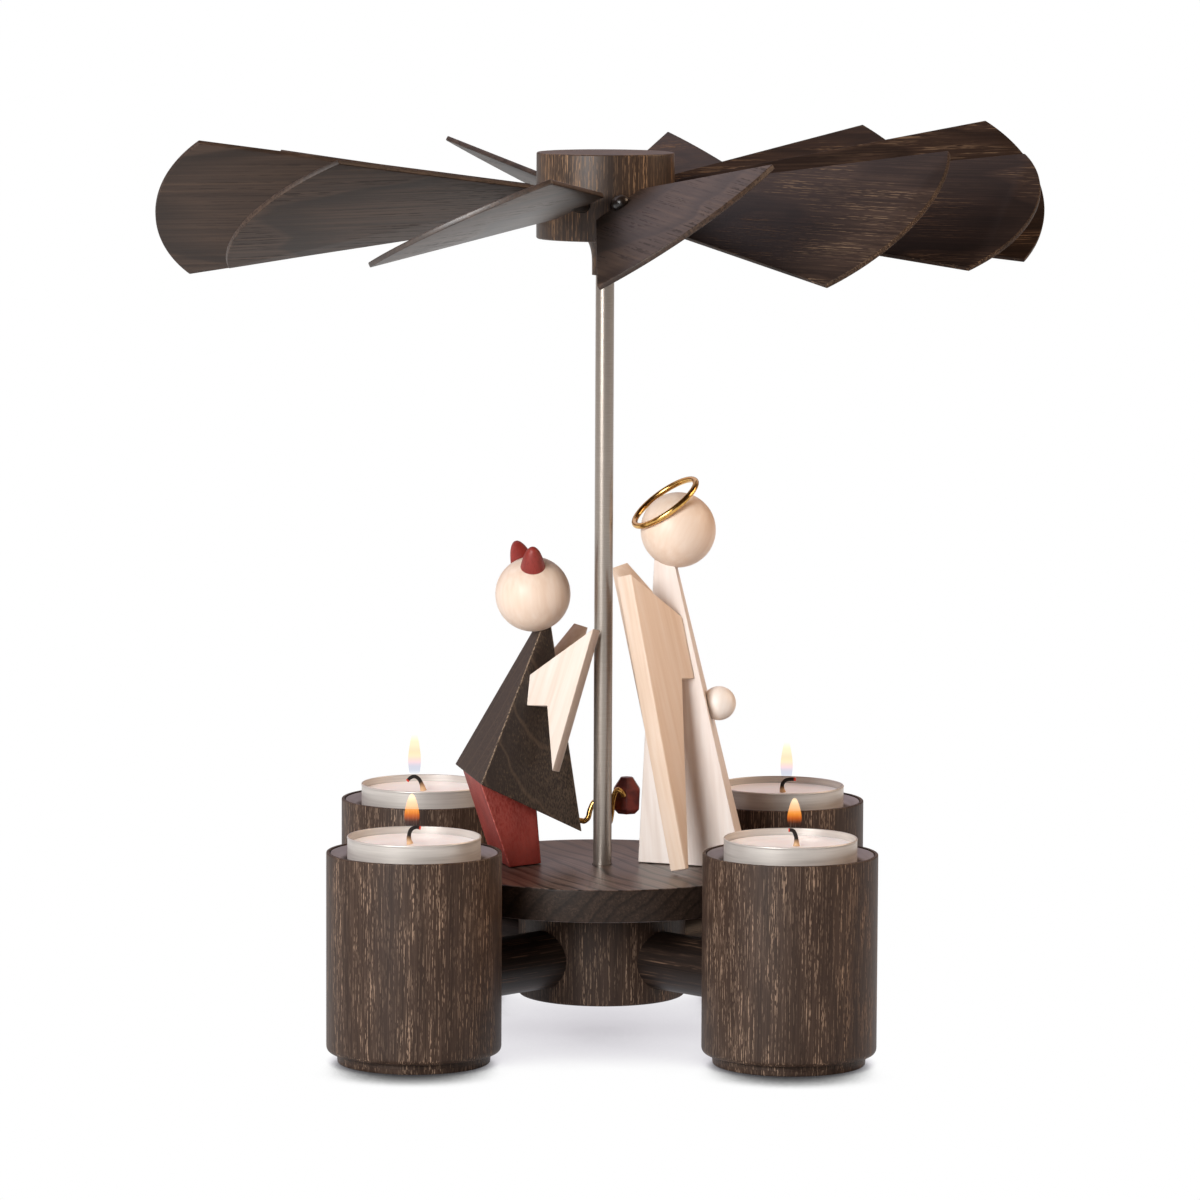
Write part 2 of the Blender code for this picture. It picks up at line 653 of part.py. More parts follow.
figures = empty("platform_top", rotor, (0, 0, PLATFORM_TOP))
back_hem = hem(COAT_BACK, 0)
back_share = (TAIL_HEIGHT - back_hem) / (COAT_TOP - back_hem)
tail_root = COAT_BACK + (COAT_TOP_BACK - COAT_BACK) * back_share - FIT_GAP - TAIL_RADIUS * 0.15
tail_spot = Matrix.Rotation(radians(DEVIL_TURN), 3, "Z") @ Vector((tail_root, 0, TAIL_HEIGHT))
tail_start = tail_spot + devil_place
place("devil_tail", tube("devil_tail", (tail_start, *TAIL_PATH), TAIL_RADIUS), brass, figures)
tip_points = []
for step in range(6):
    angle = step * pi / 3 + pi / 6
    for share, height in ((0.44, 1.0), (1.0, 0.34), (0.94, -0.74), (0.62, -1.0)):
        radius = TIP_RADIUS * share
        tip_points.append((radius * cos(angle), radius * sin(angle), TIP_HALF * height))
place("devil_tail_tip", hull("devil_tail_tip", tip_points), bead_red, figures, TIP_PLACE)

# Angel: a tapering gown, ball head, wire halo, two long wings and a ball held in front.
angel_head = Vector((-ANGEL_HEAD_BACK, 0, ANGEL_HEAD_HEIGHT))
head_cut = ball("head_cut", HEAD_RADIUS + FIT_GAP, angel_head)
gown_side = [
    Vector((GOWN_FRONT, GOWN_FRONT_HALF, FIT_GAP)),
    Vector((GOWN_BACK, GOWN_BACK_HALF, FIT_GAP)),
    Vector((GOWN_TOP_FRONT, GOWN_TOP_FRONT_HALF, GOWN_TOP)),
    Vector((GOWN_TOP_BACK, GOWN_TOP_BACK_HALF, GOWN_TOP)),
]
far_side = [Vector((point.x, -point.y, point.z)) for point in gown_side]
gown_mesh = hull("angel_gown", gown_side + far_side)
place("angel_gown", combined("angel_gown", gown_mesh, [head_cut], "DIFFERENCE"), white_wood, angel)
place("angel_head", ball("angel_head", HEAD_RADIUS), pale_wood, angel, angel_head)
for name, side, points in (("angel_wing_left", 1, gown_side), ("angel_wing_right", -1, far_side)):
    cut = side_plane(points, Vector((0, 0, GOWN_TOP / 2)), FIT_GAP)
    frame = wing_frame(ANGEL_WING_ANCHOR, ANGEL_WING_SWEEP, ANGEL_WING_LEAN, side)
    if side > 0:
        frame = Matrix.Translation(ANGEL_FAR_WING_SHIFT) @ frame
    place(name, plate(name, ANGEL_WING_OUTLINE, ANGEL_WING_THICKNESS, frame, cut), pale_wood, angel)

front_cut = side_plane([gown_side[0], far_side[0], gown_side[2]], Vector((0, 0, GOWN_TOP / 2)), FIT_GAP)
front_share = (BALL_HEIGHT - FIT_GAP) / (GOWN_TOP - FIT_GAP)
front_at_ball = GOWN_FRONT + (GOWN_TOP_FRONT - GOWN_FRONT) * front_share
ball_centre = (front_at_ball + BALL_REACH, 0, BALL_HEIGHT)
place("angel_ball", ball("angel_ball", BALL_RADIUS, ball_centre, front_cut), pale_wood, angel)

# Halo: it rests on the head with its near edge and stands off behind.
halo_normal = Vector(HALO_NORMAL).normalized()
halo_away = (Vector((0, 1, 0)) - halo_normal * halo_normal.y).normalized()
near_reach = HALO_RADIUS - sqrt(HALO_BACK ** 2 + HALO_FORWARD ** 2)
halo_lift = sqrt((HEAD_RADIUS + HALO_WIRE + FIT_GAP) ** 2 - near_reach ** 2)
halo_side = halo_normal.cross(halo_away)
halo_frame = Matrix((halo_away, halo_side, halo_normal)).transposed().to_4x4()
ring = []
for step in range(8):
    angle = step * pi / 4
    ring.append((HALO_RADIUS + HALO_WIRE * cos(angle), HALO_WIRE * sin(angle)))
halo_mesh = turned("angel_halo", ring, 40)
upright = Matrix.Rotation(radians(-ANGEL_TURN), 4, "Z")
halo_mesh.transform(upright @ halo_frame @ Matrix.Translation((HALO_BACK, -HALO_FORWARD, halo_lift)))
place("angel_halo", halo_mesh, brass, angel, angel_head)
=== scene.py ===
from functools import partial
from math import cos, hypot, pi, radians, sin, sqrt

import bmesh
import bpy
import numpy as np
from mathutils import Matrix, Vector


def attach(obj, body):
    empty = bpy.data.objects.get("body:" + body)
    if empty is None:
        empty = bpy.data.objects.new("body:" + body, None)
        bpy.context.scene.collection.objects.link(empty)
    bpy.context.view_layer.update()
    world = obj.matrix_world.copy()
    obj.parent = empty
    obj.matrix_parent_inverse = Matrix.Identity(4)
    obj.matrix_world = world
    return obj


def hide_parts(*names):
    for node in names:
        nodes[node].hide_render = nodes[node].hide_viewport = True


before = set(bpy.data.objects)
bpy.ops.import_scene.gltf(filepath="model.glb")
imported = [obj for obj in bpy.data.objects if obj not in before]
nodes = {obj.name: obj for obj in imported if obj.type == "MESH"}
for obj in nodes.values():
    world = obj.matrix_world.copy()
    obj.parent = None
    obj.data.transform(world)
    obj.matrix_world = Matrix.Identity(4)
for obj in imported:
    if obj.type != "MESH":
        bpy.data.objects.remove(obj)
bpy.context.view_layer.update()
scene = bpy.context.scene
link = scene.collection.objects.link
scene.view_settings.view_transform = "Standard"
mm = 0.001
seatGap = 0.0001  # air left between glued pieces
print("frame loaded:", len(nodes), "nodes")

# Camera of the photograph, fitted to the rims, the feet, the platform and the vane corners.
cameraSet = {
    "distance": 1.8568, "height": 0.3364, "tilt": 0.1125, "roll": 0.0048, "focal": 5.3416,
    "shiftX": -0.00291, "sensor": 36, "farEnd": 200}
cameraData = bpy.data.cameras.new("camera")
cameraData.sensor_width = cameraSet["sensor"]
cameraData.lens = cameraSet["sensor"] * cameraSet["focal"]
cameraData.shift_x = cameraSet["shiftX"]
cameraData.clip_end = cameraSet["farEnd"]
camera = bpy.data.objects.new("camera", cameraData)
link(camera)
camera.matrix_world = (Matrix.Translation((0, -cameraSet["distance"], cameraSet["height"]))
                       @ Matrix.Rotation(pi / 2 - cameraSet["tilt"], 4, "X")
                       @ Matrix.Rotation(cameraSet["roll"], 4, "Z"))
scene.camera = camera
print("camera placed")


def colour(hexText):  # sRGB hex to linear
    share = np.array([int(hexText[i:i + 2], 16) for i in (1, 3, 5)]) / 255
    linear = np.where(share <= 0.04045, share / 12.92, ((share + 0.055) / 1.055) ** 2.4)
    return (*map(float, linear), 1.0)


def feed(node, inputs):  # inputs by name or in their order, each a link, a colour in hex or a value
    for key, value in inputs.items() if isinstance(inputs, dict) else enumerate(inputs):
        if isinstance(value, bpy.types.NodeSocket):
            node.id_data.links.new(value, node.inputs[key])
        else:
            node.inputs[key].default_value = colour(value) if isinstance(value, str) else value


def addNode(tree, kind, inputs=(), out=0, stops=(), **settings):
    # One shader node with its settings, its inputs and the stops of its ramp.
    node = tree.nodes.new("ShaderNode" + kind)
    for key, value in settings.items():
        setattr(node, key, value)
    for number, (place, tone) in enumerate(stops):
        steps = node.color_ramp.elements
        step = steps[number] if number < len(steps) else steps.new(place)
        step.position = place
        step.color = colour(tone) if isinstance(tone, str) else (tone, tone, tone, 1)
    feed(node, inputs)
    return node.outputs[out]


def newMaterial(name):
    material = bpy.data.materials.new(name)
    material.use_nodes = True
    tree = material.node_tree
    return material, tree.nodes["Principled BSDF"], partial(addNode, tree)


# Smoked ash under a thin satin oil. The eye sees brown-black wood, growth rings a few mm apart,
# rows of short tan pores along the fibre that crowd in the spring wood, and a worn line on sharp ridges.
# The point attribute grain holds the wood's own place: x and y across the fibre, z along it.
# A look has its ring spacing and its pore's width and length in mm; crowd says how many pores show in
# dense and in spring wood, band is where the growth line lies in a ring, and the tones are deep, dark,
# middle and light wood, growth line and pore.
def smokedAsh(name, look):
    material, shader, add = newMaterial(name)
    deep, dark, middle, light, lineTone, poreTone = look["tones"]
    poreWide, poreLong = 1 / (look["pore"][0] * mm), 1 / (look["pore"][1] * mm)
    grain = add("Attribute", out="Vector", attribute_name="grain")
    noises = []
    for stretch, shift, detail, fade in (
            ((45, 45, look["bend"]), (0, 0, 0), 2.0, 0.5),
            ((poreWide, poreWide, poreLong / 8), (0, 0, 0), 1.0, 0.6),
            ((poreWide, poreWide, poreLong), (2, 5, 8), 1.0, 0.5),
            ((poreWide / 2, poreWide / 2, poreLong / 14), (7, 3, 1), 2.0, 0.55),
            ((95, 95, 20), (3, 9, 4), 2.0, 0.5)):
        spot = add("VectorMath", [grain, stretch, shift], operation="MULTIPLY_ADD")
        noises.append(add("TexNoise", {"Vector": spot, "Scale": 1.0, "Detail": detail, "Roughness": fade}))
    wander, fine, dots, streak, patch = noises
    section = add("VectorMath", [grain, (1, 1, look["tilt"])], operation="MULTIPLY")
    fromPith = add("VectorMath", [section], "Value", operation="LENGTH")
    rings = add("Math", [fromPith, 1 / (look["ring"] * mm)], operation="MULTIPLY")
    rings = add("Math", [wander, look["wander"], rings], operation="MULTIPLY_ADD")
    phase = add("Math", [rings], operation="FRACT")
    spring = add("ValToRGB", [phase],
                 stops=[(0.0, 0.1), (0.1, 1.0), (0.45, 0.8), (0.66, 0.15), (1.0, 0.1)])
    dots = add("MapRange", [dots, 0.42, 0.56])
    opened = add("MapRange", [fine, *look["open"]])
    opened = add("Math", [opened, dots], operation="MULTIPLY")
    crowd = add("Math", [spring, patch], operation="MULTIPLY")
    crowd = add("MapRange", [crowd, 0.03, 0.48, *look["crowd"]])
    pores = add("Math", [opened, crowd], operation="MULTIPLY", use_clamp=True)
    broad = add("MapRange", [patch, 0.3, 0.7, 0.55, 0.0])
    first, full, last = look.get("band", (0.62, 0.86, 0.94))
    line = add("ValToRGB", [phase],
               stops=[(0.0, 0.0), (first, 0.0), (full, look["line"]), (last, look["line"]), (1.0, 0.0)])
    ridge = add("Attribute", out="Fac", attribute_name="worn")
    rubbed = add("MapRange", [fine, 0.38, 0.6])
    rubbed = add("Math", [ridge, rubbed], operation="MULTIPLY")
    tone = add("ValToRGB", [streak], stops=[(0.3, dark), (0.5, middle), (0.72, light)])
    for cover, over in ((broad, deep), (line, lineTone), (pores, poreTone),
                        (rubbed, look.get("rub", poreTone))):
        tone = add("Mix", {0: cover, 6: tone, 7: over}, 2, data_type="RGBA")
    shine = add("MapRange", [pores, 0.0, 1.0, look["rough"], look["rough"] + 0.2])
    relief = add("Bump", {"Height": fine, "Strength": 0.25, "Distance": 0.1 * mm})
    feed(shader, {"Base Color": tone, "Roughness": shine, "IOR": 1.48, "Specular IOR Level": look["gloss"],
                  "Normal": relief})
    return material


ashTurned = smokedAsh("smokedAshTurned", {
    "ring": 9.0, "wander": 2.0, "bend": 9, "tilt": 0.05, "line": 0.4, "pore": (0.30, 1.7),
    "open": (0.53, 0.65), "crowd": (0.3, 1.0), "rough": 0.50, "gloss": 0.28,
    "tones": ("#2f2019", "#35271e", "#433329", "#514036", "#281a13", "#a38974")})
ashHub = smokedAsh("smokedAshHub", {
    "ring": 7.0, "wander": 1.6, "bend": 12, "tilt": 0.05, "line": 0.5, "pore": (0.30, 2.6),
    "open": (0.50, 0.63), "crowd": (0.2, 0.85), "rough": 0.44, "gloss": 0.42,
    "tones": ("#2c1f18", "#34261d", "#46362b", "#564437", "#1f140e", "#a58160")})
ashDowel = smokedAsh("smokedAshDowel", {
    "ring": 3.2, "wander": 0.8, "bend": 14, "tilt": 0.02, "line": 0.7, "pore": (0.42, 6.0),
    "open": (0.52, 0.64), "crowd": (0.05, 0.6), "rough": 0.46, "gloss": 0.35,
    "tones": ("#1a110d", "#1d1410", "#271c16", "#34261f", "#140c09", "#836753")})
ashPeg = smokedAsh("smokedAshPeg", {
    "ring": 1.8, "wander": 0.5, "bend": 14, "tilt": 0.0, "line": 0.4, "pore": (0.30, 6.0),
    "open": (0.58, 0.70), "crowd": (0.0, 0.3), "rough": 0.28, "gloss": 0.7,
    "tones": ("#16100d", "#18110e", "#1f1713", "#281e19", "#120c0a", "#584536")})
board = {
    "ring": 3.8, "wander": 2.0, "bend": 20, "tilt": 0.0, "line": 0.95, "pore": (0.36, 9.0),
    "open": (0.54, 0.70), "crowd": (0.02, 0.35), "rough": 0.34, "gloss": 0.5,
    "tones": ("#41332d", "#473932", "#61504a", "#7c695e", "#0c0806", "#8d7868")}
ashBoard = smokedAsh("smokedAshBoard", board)
# A darker, duller copy of the board for the platform's rim: painted shade on the side.
ashBoardShadedRim = smokedAsh("smokedAshBoardShadedRim", {
    **board, "line": 0.45, "rough": 0.44, "gloss": 0.2,
    "tones": ("#241b17", "#261d18", "#31261f", "#3e312a", "#0c0806", "#5f4d40")})
veneer = {
    "ring": 6.5, "wander": 2.6, "bend": 16, "tilt": 0.06, "line": 0.6, "pore": (0.34, 4.0),
    "open": (0.53, 0.66), "crowd": (0.0, 0.8), "rough": 0.52, "gloss": 0.12,
    "tones": ("#281c16", "#2b1f18", "#372921", "#44342b", "#1a110d", "#8b735c")}
ashVane = smokedAsh("smokedAshVeneer", veneer)
paleVeneer = {
    **veneer, "ring": 4.2, "wander": 1.3, "bend": 9, "line": 0.7, "pore": (0.5, 5.0), "open": (0.52, 0.62),
    "crowd": (0.1, 0.8), "gloss": 0.4,
    "tones": ("#34261e", "#33251c", "#46362c", "#594638", "#231812", "#1f1511")}
ashVaneLight = smokedAsh("smokedAshPaleVeneer", paleVeneer)
ashVaneSheen = smokedAsh("smokedAshSheenVeneer", {**paleVeneer, "rough": 0.44, "gloss": 0.95})
ashCarved = smokedAsh("smokedAshCarved", {
    "ring": 6.0, "wander": 1.2, "bend": 40, "tilt": 0.0, "line": 0.24, "pore": (0.30, 1.8),
    "open": (0.55, 0.68), "crowd": (0.12, 0.45), "rough": 0.46, "gloss": 0.6,
    "rub": "#a58f78", "band": (0.88, 0.93, 0.96),
    "tones": ("#201612", "#241914", "#2a1f19", "#352820", "#7a6450", "#75604a")})


# Bare maple, sanded smooth: pale warm wood, growth lines about 1.5 mm apart that only just show.
# Its tones are the growth line, the wood, the palest wood and warm clouds.
def paleWood(name, tones, rough):
    material, shader, add = newMaterial(name)
    deep, body, pale, warm = tones
    grain = add("Attribute", out="Vector", attribute_name="grain")
    noises = []
    for stretch, shift, detail in (((560, 560, 24), (0, 0, 0), 2.0), ((70, 70, 24), (5, 1, 2), 2.0),
                                   ((2400, 2400, 480), (1, 6, 2), 1.0)):
        spot = add("VectorMath", [grain, stretch, shift], operation="MULTIPLY_ADD")
        noises.append(add("TexNoise", {"Vector": spot, "Scale": 1.0, "Detail": detail}))
    lines, cloud, fleck = noises
    tone = add("ValToRGB", [lines], stops=[(0.3, deep), (0.5, body), (0.7, pale)])
    for marks, low, high, most, over in ((cloud, 0.35, 0.7, 0.4, warm), (fleck, 0.6, 0.75, 0.12, deep)):
        cover = add("MapRange", [marks, low, high, 0.0, most])
        tone = add("Mix", {0: cover, 6: tone, 7: over}, 2, data_type="RGBA")
    relief = add("Bump", {"Height": lines, "Strength": 0.06, "Distance": 0.05 * mm})
    feed(shader, {"Base Color": tone, "Roughness": rough, "IOR": 1.45, "Normal": relief})
    return material


mapleBall = paleWood("mapleSanded", ("#ead2bd", "#efdac7", "#f3e1d1", "#ead3bd"), 0.42)
mapleBoard = paleWood("mapleBoard", ("#e2c9b2", "#e9d2bd", "#efdccb", "#e4cbb3"), 0.50)
maplePale = paleWood("maplePale", ("#e4d2c3", "#ecddd0", "#f2e6dc", "#e7d5c5"), 0.50)
# A paler copy of the maple, painted light for the angel's ball where the gown keeps the key lamp off it.
maplePaintedLight = paleWood("maplePaintedLight", ("#f0e6dc", "#f6eee6", "#faf4ee", "#f2e8de"), 0.42)
mapleStained = paleWood("mapleWhiteStain", ("#dfd2c9", "#e8ddd5", "#efe7e1", "#e3d7cd"), 0.55)

# Red stain on close-grained wood: matt, cloudy, with a lighter rub on the ridges.
redStain, shader, add = newMaterial("redStainedWood")
grain = add("Attribute", out="Vector", attribute_name="grain")
noises = []
for stretch, detail in (((140, 140, 60), 3.0), ((1700, 1700, 800), 2.0)):
    spot = add("VectorMath", [grain, stretch], operation="MULTIPLY")
    noises.append(add("TexNoise", {"Vector": spot, "Scale": 1.0, "Detail": detail, "Roughness": 0.6}))
clouds, specks = noises
tone = add("ValToRGB", [clouds], stops=[(0.3, "#7d251e"), (0.55, "#92322a"), (0.75, "#a64238")])
ridge = add("Attribute", out="Fac", attribute_name="worn")
speckled = add("MapRange", [specks, 0.5, 0.72, 0.0, 0.5])
rubbed = add("MapRange", [specks, 0.35, 0.65])
rubbed = add("Math", [ridge, rubbed], operation="MULTIPLY")
for cover, over in ((speckled, "#6e1f1a"), (rubbed, "#d9776b")):
    tone = add("Mix", {0: cover, 6: tone, 7: over}, 2, data_type="RGBA")
relief = add("Bump", {"Height": specks, "Strength": 0.5, "Distance": 0.25 * mm})
feed(shader, {"Base Color": tone, "Roughness": 0.48, "Normal": relief})


# A smooth material: two tones drift into each other along a stretched noise, which can also vary the
# shine or raise a fine relief.
def mottled(name, look, inputs):
    material, shader, add = newMaterial(name)
    place = add("TexCoord", out="Object")
    spot = add("VectorMath", [place, look["stretch"]], operation="MULTIPLY")
    marks = add("TexNoise", {"Vector": spot, "Scale": 1.0, "Detail": look.get("detail", 2.0),
                             "Roughness": look.get("fade", 0.5)})
    low, high = look.get("drift", (0.3, 0.7))
    tone = add("ValToRGB", [marks], stops=list(zip((low, high), look["tones"])))
    feed(shader, {"Base Color": tone, **inputs})
    if "shine" in look:
        shine = add("MapRange", [marks, low, high, *look["shine"]])
        feed(shader, {"Roughness": shine})
    if "relief" in look:
        relief = add("Bump", {"Height": marks, "Strength": look["relief"], "Distance": 0.05 * mm})
        feed(shader, {"Normal": relief})
    return material


# Dark red lacquer on a cut bead: deep, and glossier than the stain.
redLacquer = mottled("darkRedLacquer",
                     {"stretch": (420, 420, 420), "tones": ("#4f1a14", "#73291e"), "drift": (0.35, 0.65)},
                     {"Roughness": 0.42})
# Drawn brass wire, polished: a warm yellow mirror with faint draw marks.
brassWire = mottled("polishedBrass",
                    {"stretch": (900, 900, 900), "detail": 3.0, "shine": (0.14, 0.24),
                     "tones": ("#c7964c", "#e4b76e")}, {"Metallic": 1.0})
# Ground steel rod: satin grey that smears reflections round the rod, fine marks 0.1 mm apart.
groundSteel = mottled("groundSteel",
                      {"stretch": (300, 300, 9000), "fade": 0.6, "shine": (0.28, 0.33),
                       "tones": ("#9a9188", "#a89f96")}, {"Metallic": 0.8})
# Pressed aluminium, matt: pale grey with soft rolling lines round the wall.
rolled = {"stretch": (60, 60, 1400), "relief": 0.06}
aluminiumCup = mottled("aluminiumCup", {**rolled, "tones": ("#c6c1bb", "#d7d2cc")},
                       {"Roughness": 0.38, "Metallic": 0.35})
aluminiumDish = mottled("aluminiumDish", {**rolled, "tones": ("#9a9495", "#aaa4a5")},
                        {"Roughness": 0.45, "Metallic": 0.6})
# Paraffin wax, half melted: milky and a little pink, light goes into it, and a faint white glow is painted
# light from the flame.
waxWithPaintedGlow = mottled("paraffinWaxPaintedGlow", {"stretch": (130, 130, 130), "tones": ("#e9ddd7", "#f0e8e4")},
                   {"Roughness": 0.35, "Subsurface Weight": 0.25, "Subsurface Radius": (1.0, 0.7, 0.5),
                    "Subsurface Scale": 2.0 * mm, "Emission Color": "#fdfbff", "Emission Strength": 0.17})
# Pressed soda glass of the bearing seat: clear, faintly green.
sodaGlass = mottled("sodaGlassSeat", {"stretch": (300, 300, 300), "tones": ("#c4d6d0", "#d4e2de")},
                    {"Roughness": 0.08, "Transmission Weight": 0.8})

# Cotton wick: waxed and tan at the foot, charred above, glowing at the very tip.
charredCotton, shader, add = newMaterial("charredCotton")
height = add("Attribute", out="Fac", attribute_name="along")
place = add("TexCoord", out="Object")
fibre = add("TexNoise", {"Vector": place, "Scale": 3000.0, "Detail": 2.0})
tone = add("ValToRGB", [height],
           stops=[(0.1, "#d0ab84"), (0.22, "#8a6a4c"), (0.3, "#191311"), (0.91, "#15100e"),
                  (0.96, "#b0341c")])
glow = add("ValToRGB", [height], stops=[(0.91, "#000000"), (0.96, "#a8281a")])
relief = add("Bump", {"Height": fibre, "Strength": 0.5, "Distance": 0.1 * mm})
feed(shader, {"Base Color": tone, "Roughness": 0.85, "Emission Color": glow, "Emission Strength": 0.7,
              "Normal": relief})

# Candle flame: it tints what lies behind it, bluish at the foot, pink and cream above, and adds a glow
# from orange to cream.
candleFlame, shader, add = newMaterial("candleFlame")
tree = shader.id_data
tree.nodes.remove(shader)
height = add("Attribute", out="Fac", attribute_name="along")
veil = add("ValToRGB", [height],
           stops=[(0.0, "#ffffff"), (0.1, "#ebeef5"), (0.26, "#e8ebf3"), (0.42, "#eaebe3"),
                  (0.55, "#ead6d8"), (0.75, "#e9cccb"), (0.95, "#f0ece4"), (1.0, "#ffffff")])
heat = add("ValToRGB", [height],
           stops=[(0.06, "#000000"), (0.2, "#3a1a0a"), (0.36, "#b4520f"), (0.5, "#d98a33"),
                  (0.68, "#d9b680"), (0.92, "#dcc8a2"), (1.0, "#a08c66")])
light = add("Emission", [heat, 0.75])
clear = add("BsdfTransparent", [veil])
both = add("AddShader", [clear, light])
feed(tree.nodes["Material Output"], {"Surface": both})
print("materials made:", len(bpy.data.materials))


def unit(vectors):
    return vectors / np.linalg.norm(vectors, axis=-1, keepdims=True)


def bezier(first, middle, last, t):
    return (1 - t) ** 2 * first + 2 * t * (1 - t) * middle + t ** 2 * last


def roundedLine(corners, steps=6):
    # Each inner corner (x, y, fillet) becomes a quadratic Bezier between its tangent points.
    points = np.array([corner[:2] for corner in corners], float) * mm
    fillets = np.array([corner[2] if len(corner) > 2 else 0 for corner in corners], float) * mm
    t = np.linspace(0, 1, steps)[:, None]
    rows = [points[:1]]
    for before, here, after, fillet in zip(points, points[1:], points[2:], fillets[1:]):
        if fillet == 0:
            rows.append(here[None])
            continue
        ends = here + unit(before - here) * fillet, here + unit(after - here) * fillet
        rows.append(bezier(ends[0], here, ends[1], t))
    return np.concatenate(rows + [points[-1:]])


def aroundCircle(count):
    return np.linspace(0, 2 * pi, count, endpoint=False)


def turnedGrid(profile, segments, centre=(0, 0)):
    # (r, z) carried round the vertical axis: x = r cos a, y = r sin a.
    angle = aroundCircle(segments)
    r, z = profile[:, :1], profile[:, 1:]
    return np.stack([centre[0] + r * np.cos(angle), centre[1] + r * np.sin(angle), z + 0 * angle], -1)


def tubeGrid(path, radius, sides):
    # A circle of the given radius carried square to the path, closed at both ends.
    tangent = unit(np.gradient(path, axis=0))
    side = unit(np.cross(tangent, (0.0, 1.0, 0.0)))
    top = np.cross(side, tangent)
    angle = aroundCircle(sides)
    ring = np.cos(angle)[None, :, None] * side[:, None] + np.sin(angle)[None, :, None] * top[:, None]
    radius = np.broadcast_to(radius, len(path))
    rings = path[:, None] + ring * radius[:, None, None]
    return np.concatenate([0 * rings[:1] + path[0], rings, 0 * rings[:1] + path[-1]])


def smoothPath(points, count):  # Catmull-Rom through the points
    points = np.array(points, float) * mm
    padded = np.concatenate([2 * points[:1] - points[1:2], points, 2 * points[-1:] - points[-2:-1]])
    place = np.linspace(0, len(points) - 1, count)
    index = np.minimum(place.astype(int), len(points) - 2)
    t = (place - index)[:, None]
    a, b, c, d = (padded[index + k] for k in range(4))
    cubic = (3 * b - a - 3 * c + d) * t ** 3
    return 0.5 * (2 * b + (c - a) * t + (2 * a - 5 * b + 4 * c - d) * t ** 2 + cubic)


def turnedBall(radius, centre, rows=48, columns=64):  # r = R sin a, z = -R cos a round the vertical axis
    a = np.linspace(0, pi, rows)
    grid = turnedGrid(np.stack([radius * np.sin(a), -radius * np.cos(a)], 1), columns)
    return grid + centre


def tidyMesh(mesh, sharp=38):  # poles merged, faces outwards, soft shading between sharp edges
    work = bmesh.new()
    work.from_mesh(mesh)
    bmesh.ops.remove_doubles(work, verts=work.verts, dist=1e-6)
    bmesh.ops.dissolve_degenerate(work, dist=1e-7, edges=work.edges)
    bmesh.ops.recalc_face_normals(work, faces=work.faces)
    work.to_mesh(mesh)
    work.free()
    mesh.shade_smooth()
    mesh.set_sharp_from_angle(angle=radians(sharp))
    return mesh


def meshOf(name, grids, sharp=38):  # grids that close round their columns, made one mesh
    points, faces, start = [], [], 0
    for grid in grids:
        rows, columns = grid.shape[:2]
        i = np.arange(rows - 1)[:, None] * columns + start
        j = np.arange(columns)[None]
        k = (j + 1) % columns
        faces.append(np.stack([i + j, i + k, i + columns + k, i + columns + j], -1).reshape(-1, 4))
        points.append(grid.reshape(-1, 3))
        start += rows * columns
    mesh = bpy.data.meshes.new(name)
    mesh.from_pydata(np.concatenate(points).tolist(), [], np.concatenate(faces).tolist())
    return tidyMesh(mesh, sharp)


def easeEdges(work, width, turn=25):  # rounds every edge that turns more than this many degrees
    sharp = [edge for edge in work.edges if edge.calc_face_angle(0) > radians(turn)]
    bmesh.ops.bevel(work, geom=sharp, offset=width, segments=3, profile=0.5, affect="EDGES",
                    clamp_overlap=True)


def plateMesh(name, outline, thick, edge, toPlace, cut=None):
    # A flat board from its outline in mm, cut off at a plane, with eased edges.
    work = bmesh.new()
    face = work.faces.new([work.verts.new((a * mm, b * mm, 0)) for a, b in outline])
    grown = bmesh.ops.extrude_face_region(work, geom=[face])["geom"]
    moved = [part for part in grown if isinstance(part, bmesh.types.BMVert)]
    bmesh.ops.translate(work, verts=moved, vec=(0, 0, -thick * mm))
    bmesh.ops.transform(work, matrix=toPlace, verts=work.verts)
    if cut:
        bmesh.ops.bisect_plane(work, geom=work.verts[:] + work.edges[:] + work.faces[:], plane_co=cut[0],
                               plane_no=cut[1], clear_inner=True)
        bmesh.ops.contextual_create(work, geom=[edge for edge in work.edges if len(edge.link_faces) == 1])
    bmesh.ops.recalc_face_normals(work, faces=work.faces)
    easeEdges(work, edge * mm)
    mesh = bpy.data.meshes.new(name)
    work.to_mesh(mesh)
    work.free()
    return tidyMesh(mesh, 30)


def pointsOf(mesh):
    points = np.empty(len(mesh.vertices) * 3)
    mesh.vertices.foreach_get("co", points)
    return points.reshape(-1, 3)


def setGrain(mesh, fibre, shift=(60, 20, 0), centre=(0, 0, 0), across=None):
    # The wood's own coordinates: two across the fibre, the third along it, the pith shifted away in mm.
    fibre = unit(np.array(fibre, float))
    sideways = (1, 0, 0) if abs(fibre[0]) < 0.7 else (0, 1, 0)
    guide = np.array(across or sideways, float)
    first = unit(guide - fibre * (guide @ fibre))
    axes = np.stack([first, np.cross(fibre, first), fibre], 1)
    values = (pointsOf(mesh) - centre) @ axes + np.array(shift) * mm
    layer = mesh.attributes.new("grain", "FLOAT_VECTOR", "POINT")
    layer.data.foreach_set("vector", values.astype(np.float32).ravel())


def setShare(mesh, name, values):  # one number from 0 to 1 for each point
    layer = mesh.attributes.new(name, "FLOAT", "POINT")
    layer.data.foreach_set("value", np.asarray(values, np.float32))


def addPiece(mesh, material, body, slot, *stands):  # the piece has the name of its mesh
    mesh.materials.append(material)
    piece = bpy.data.objects.new(mesh.name, mesh)
    link(piece)
    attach(piece, body)
    if stands:
        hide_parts(*stands)


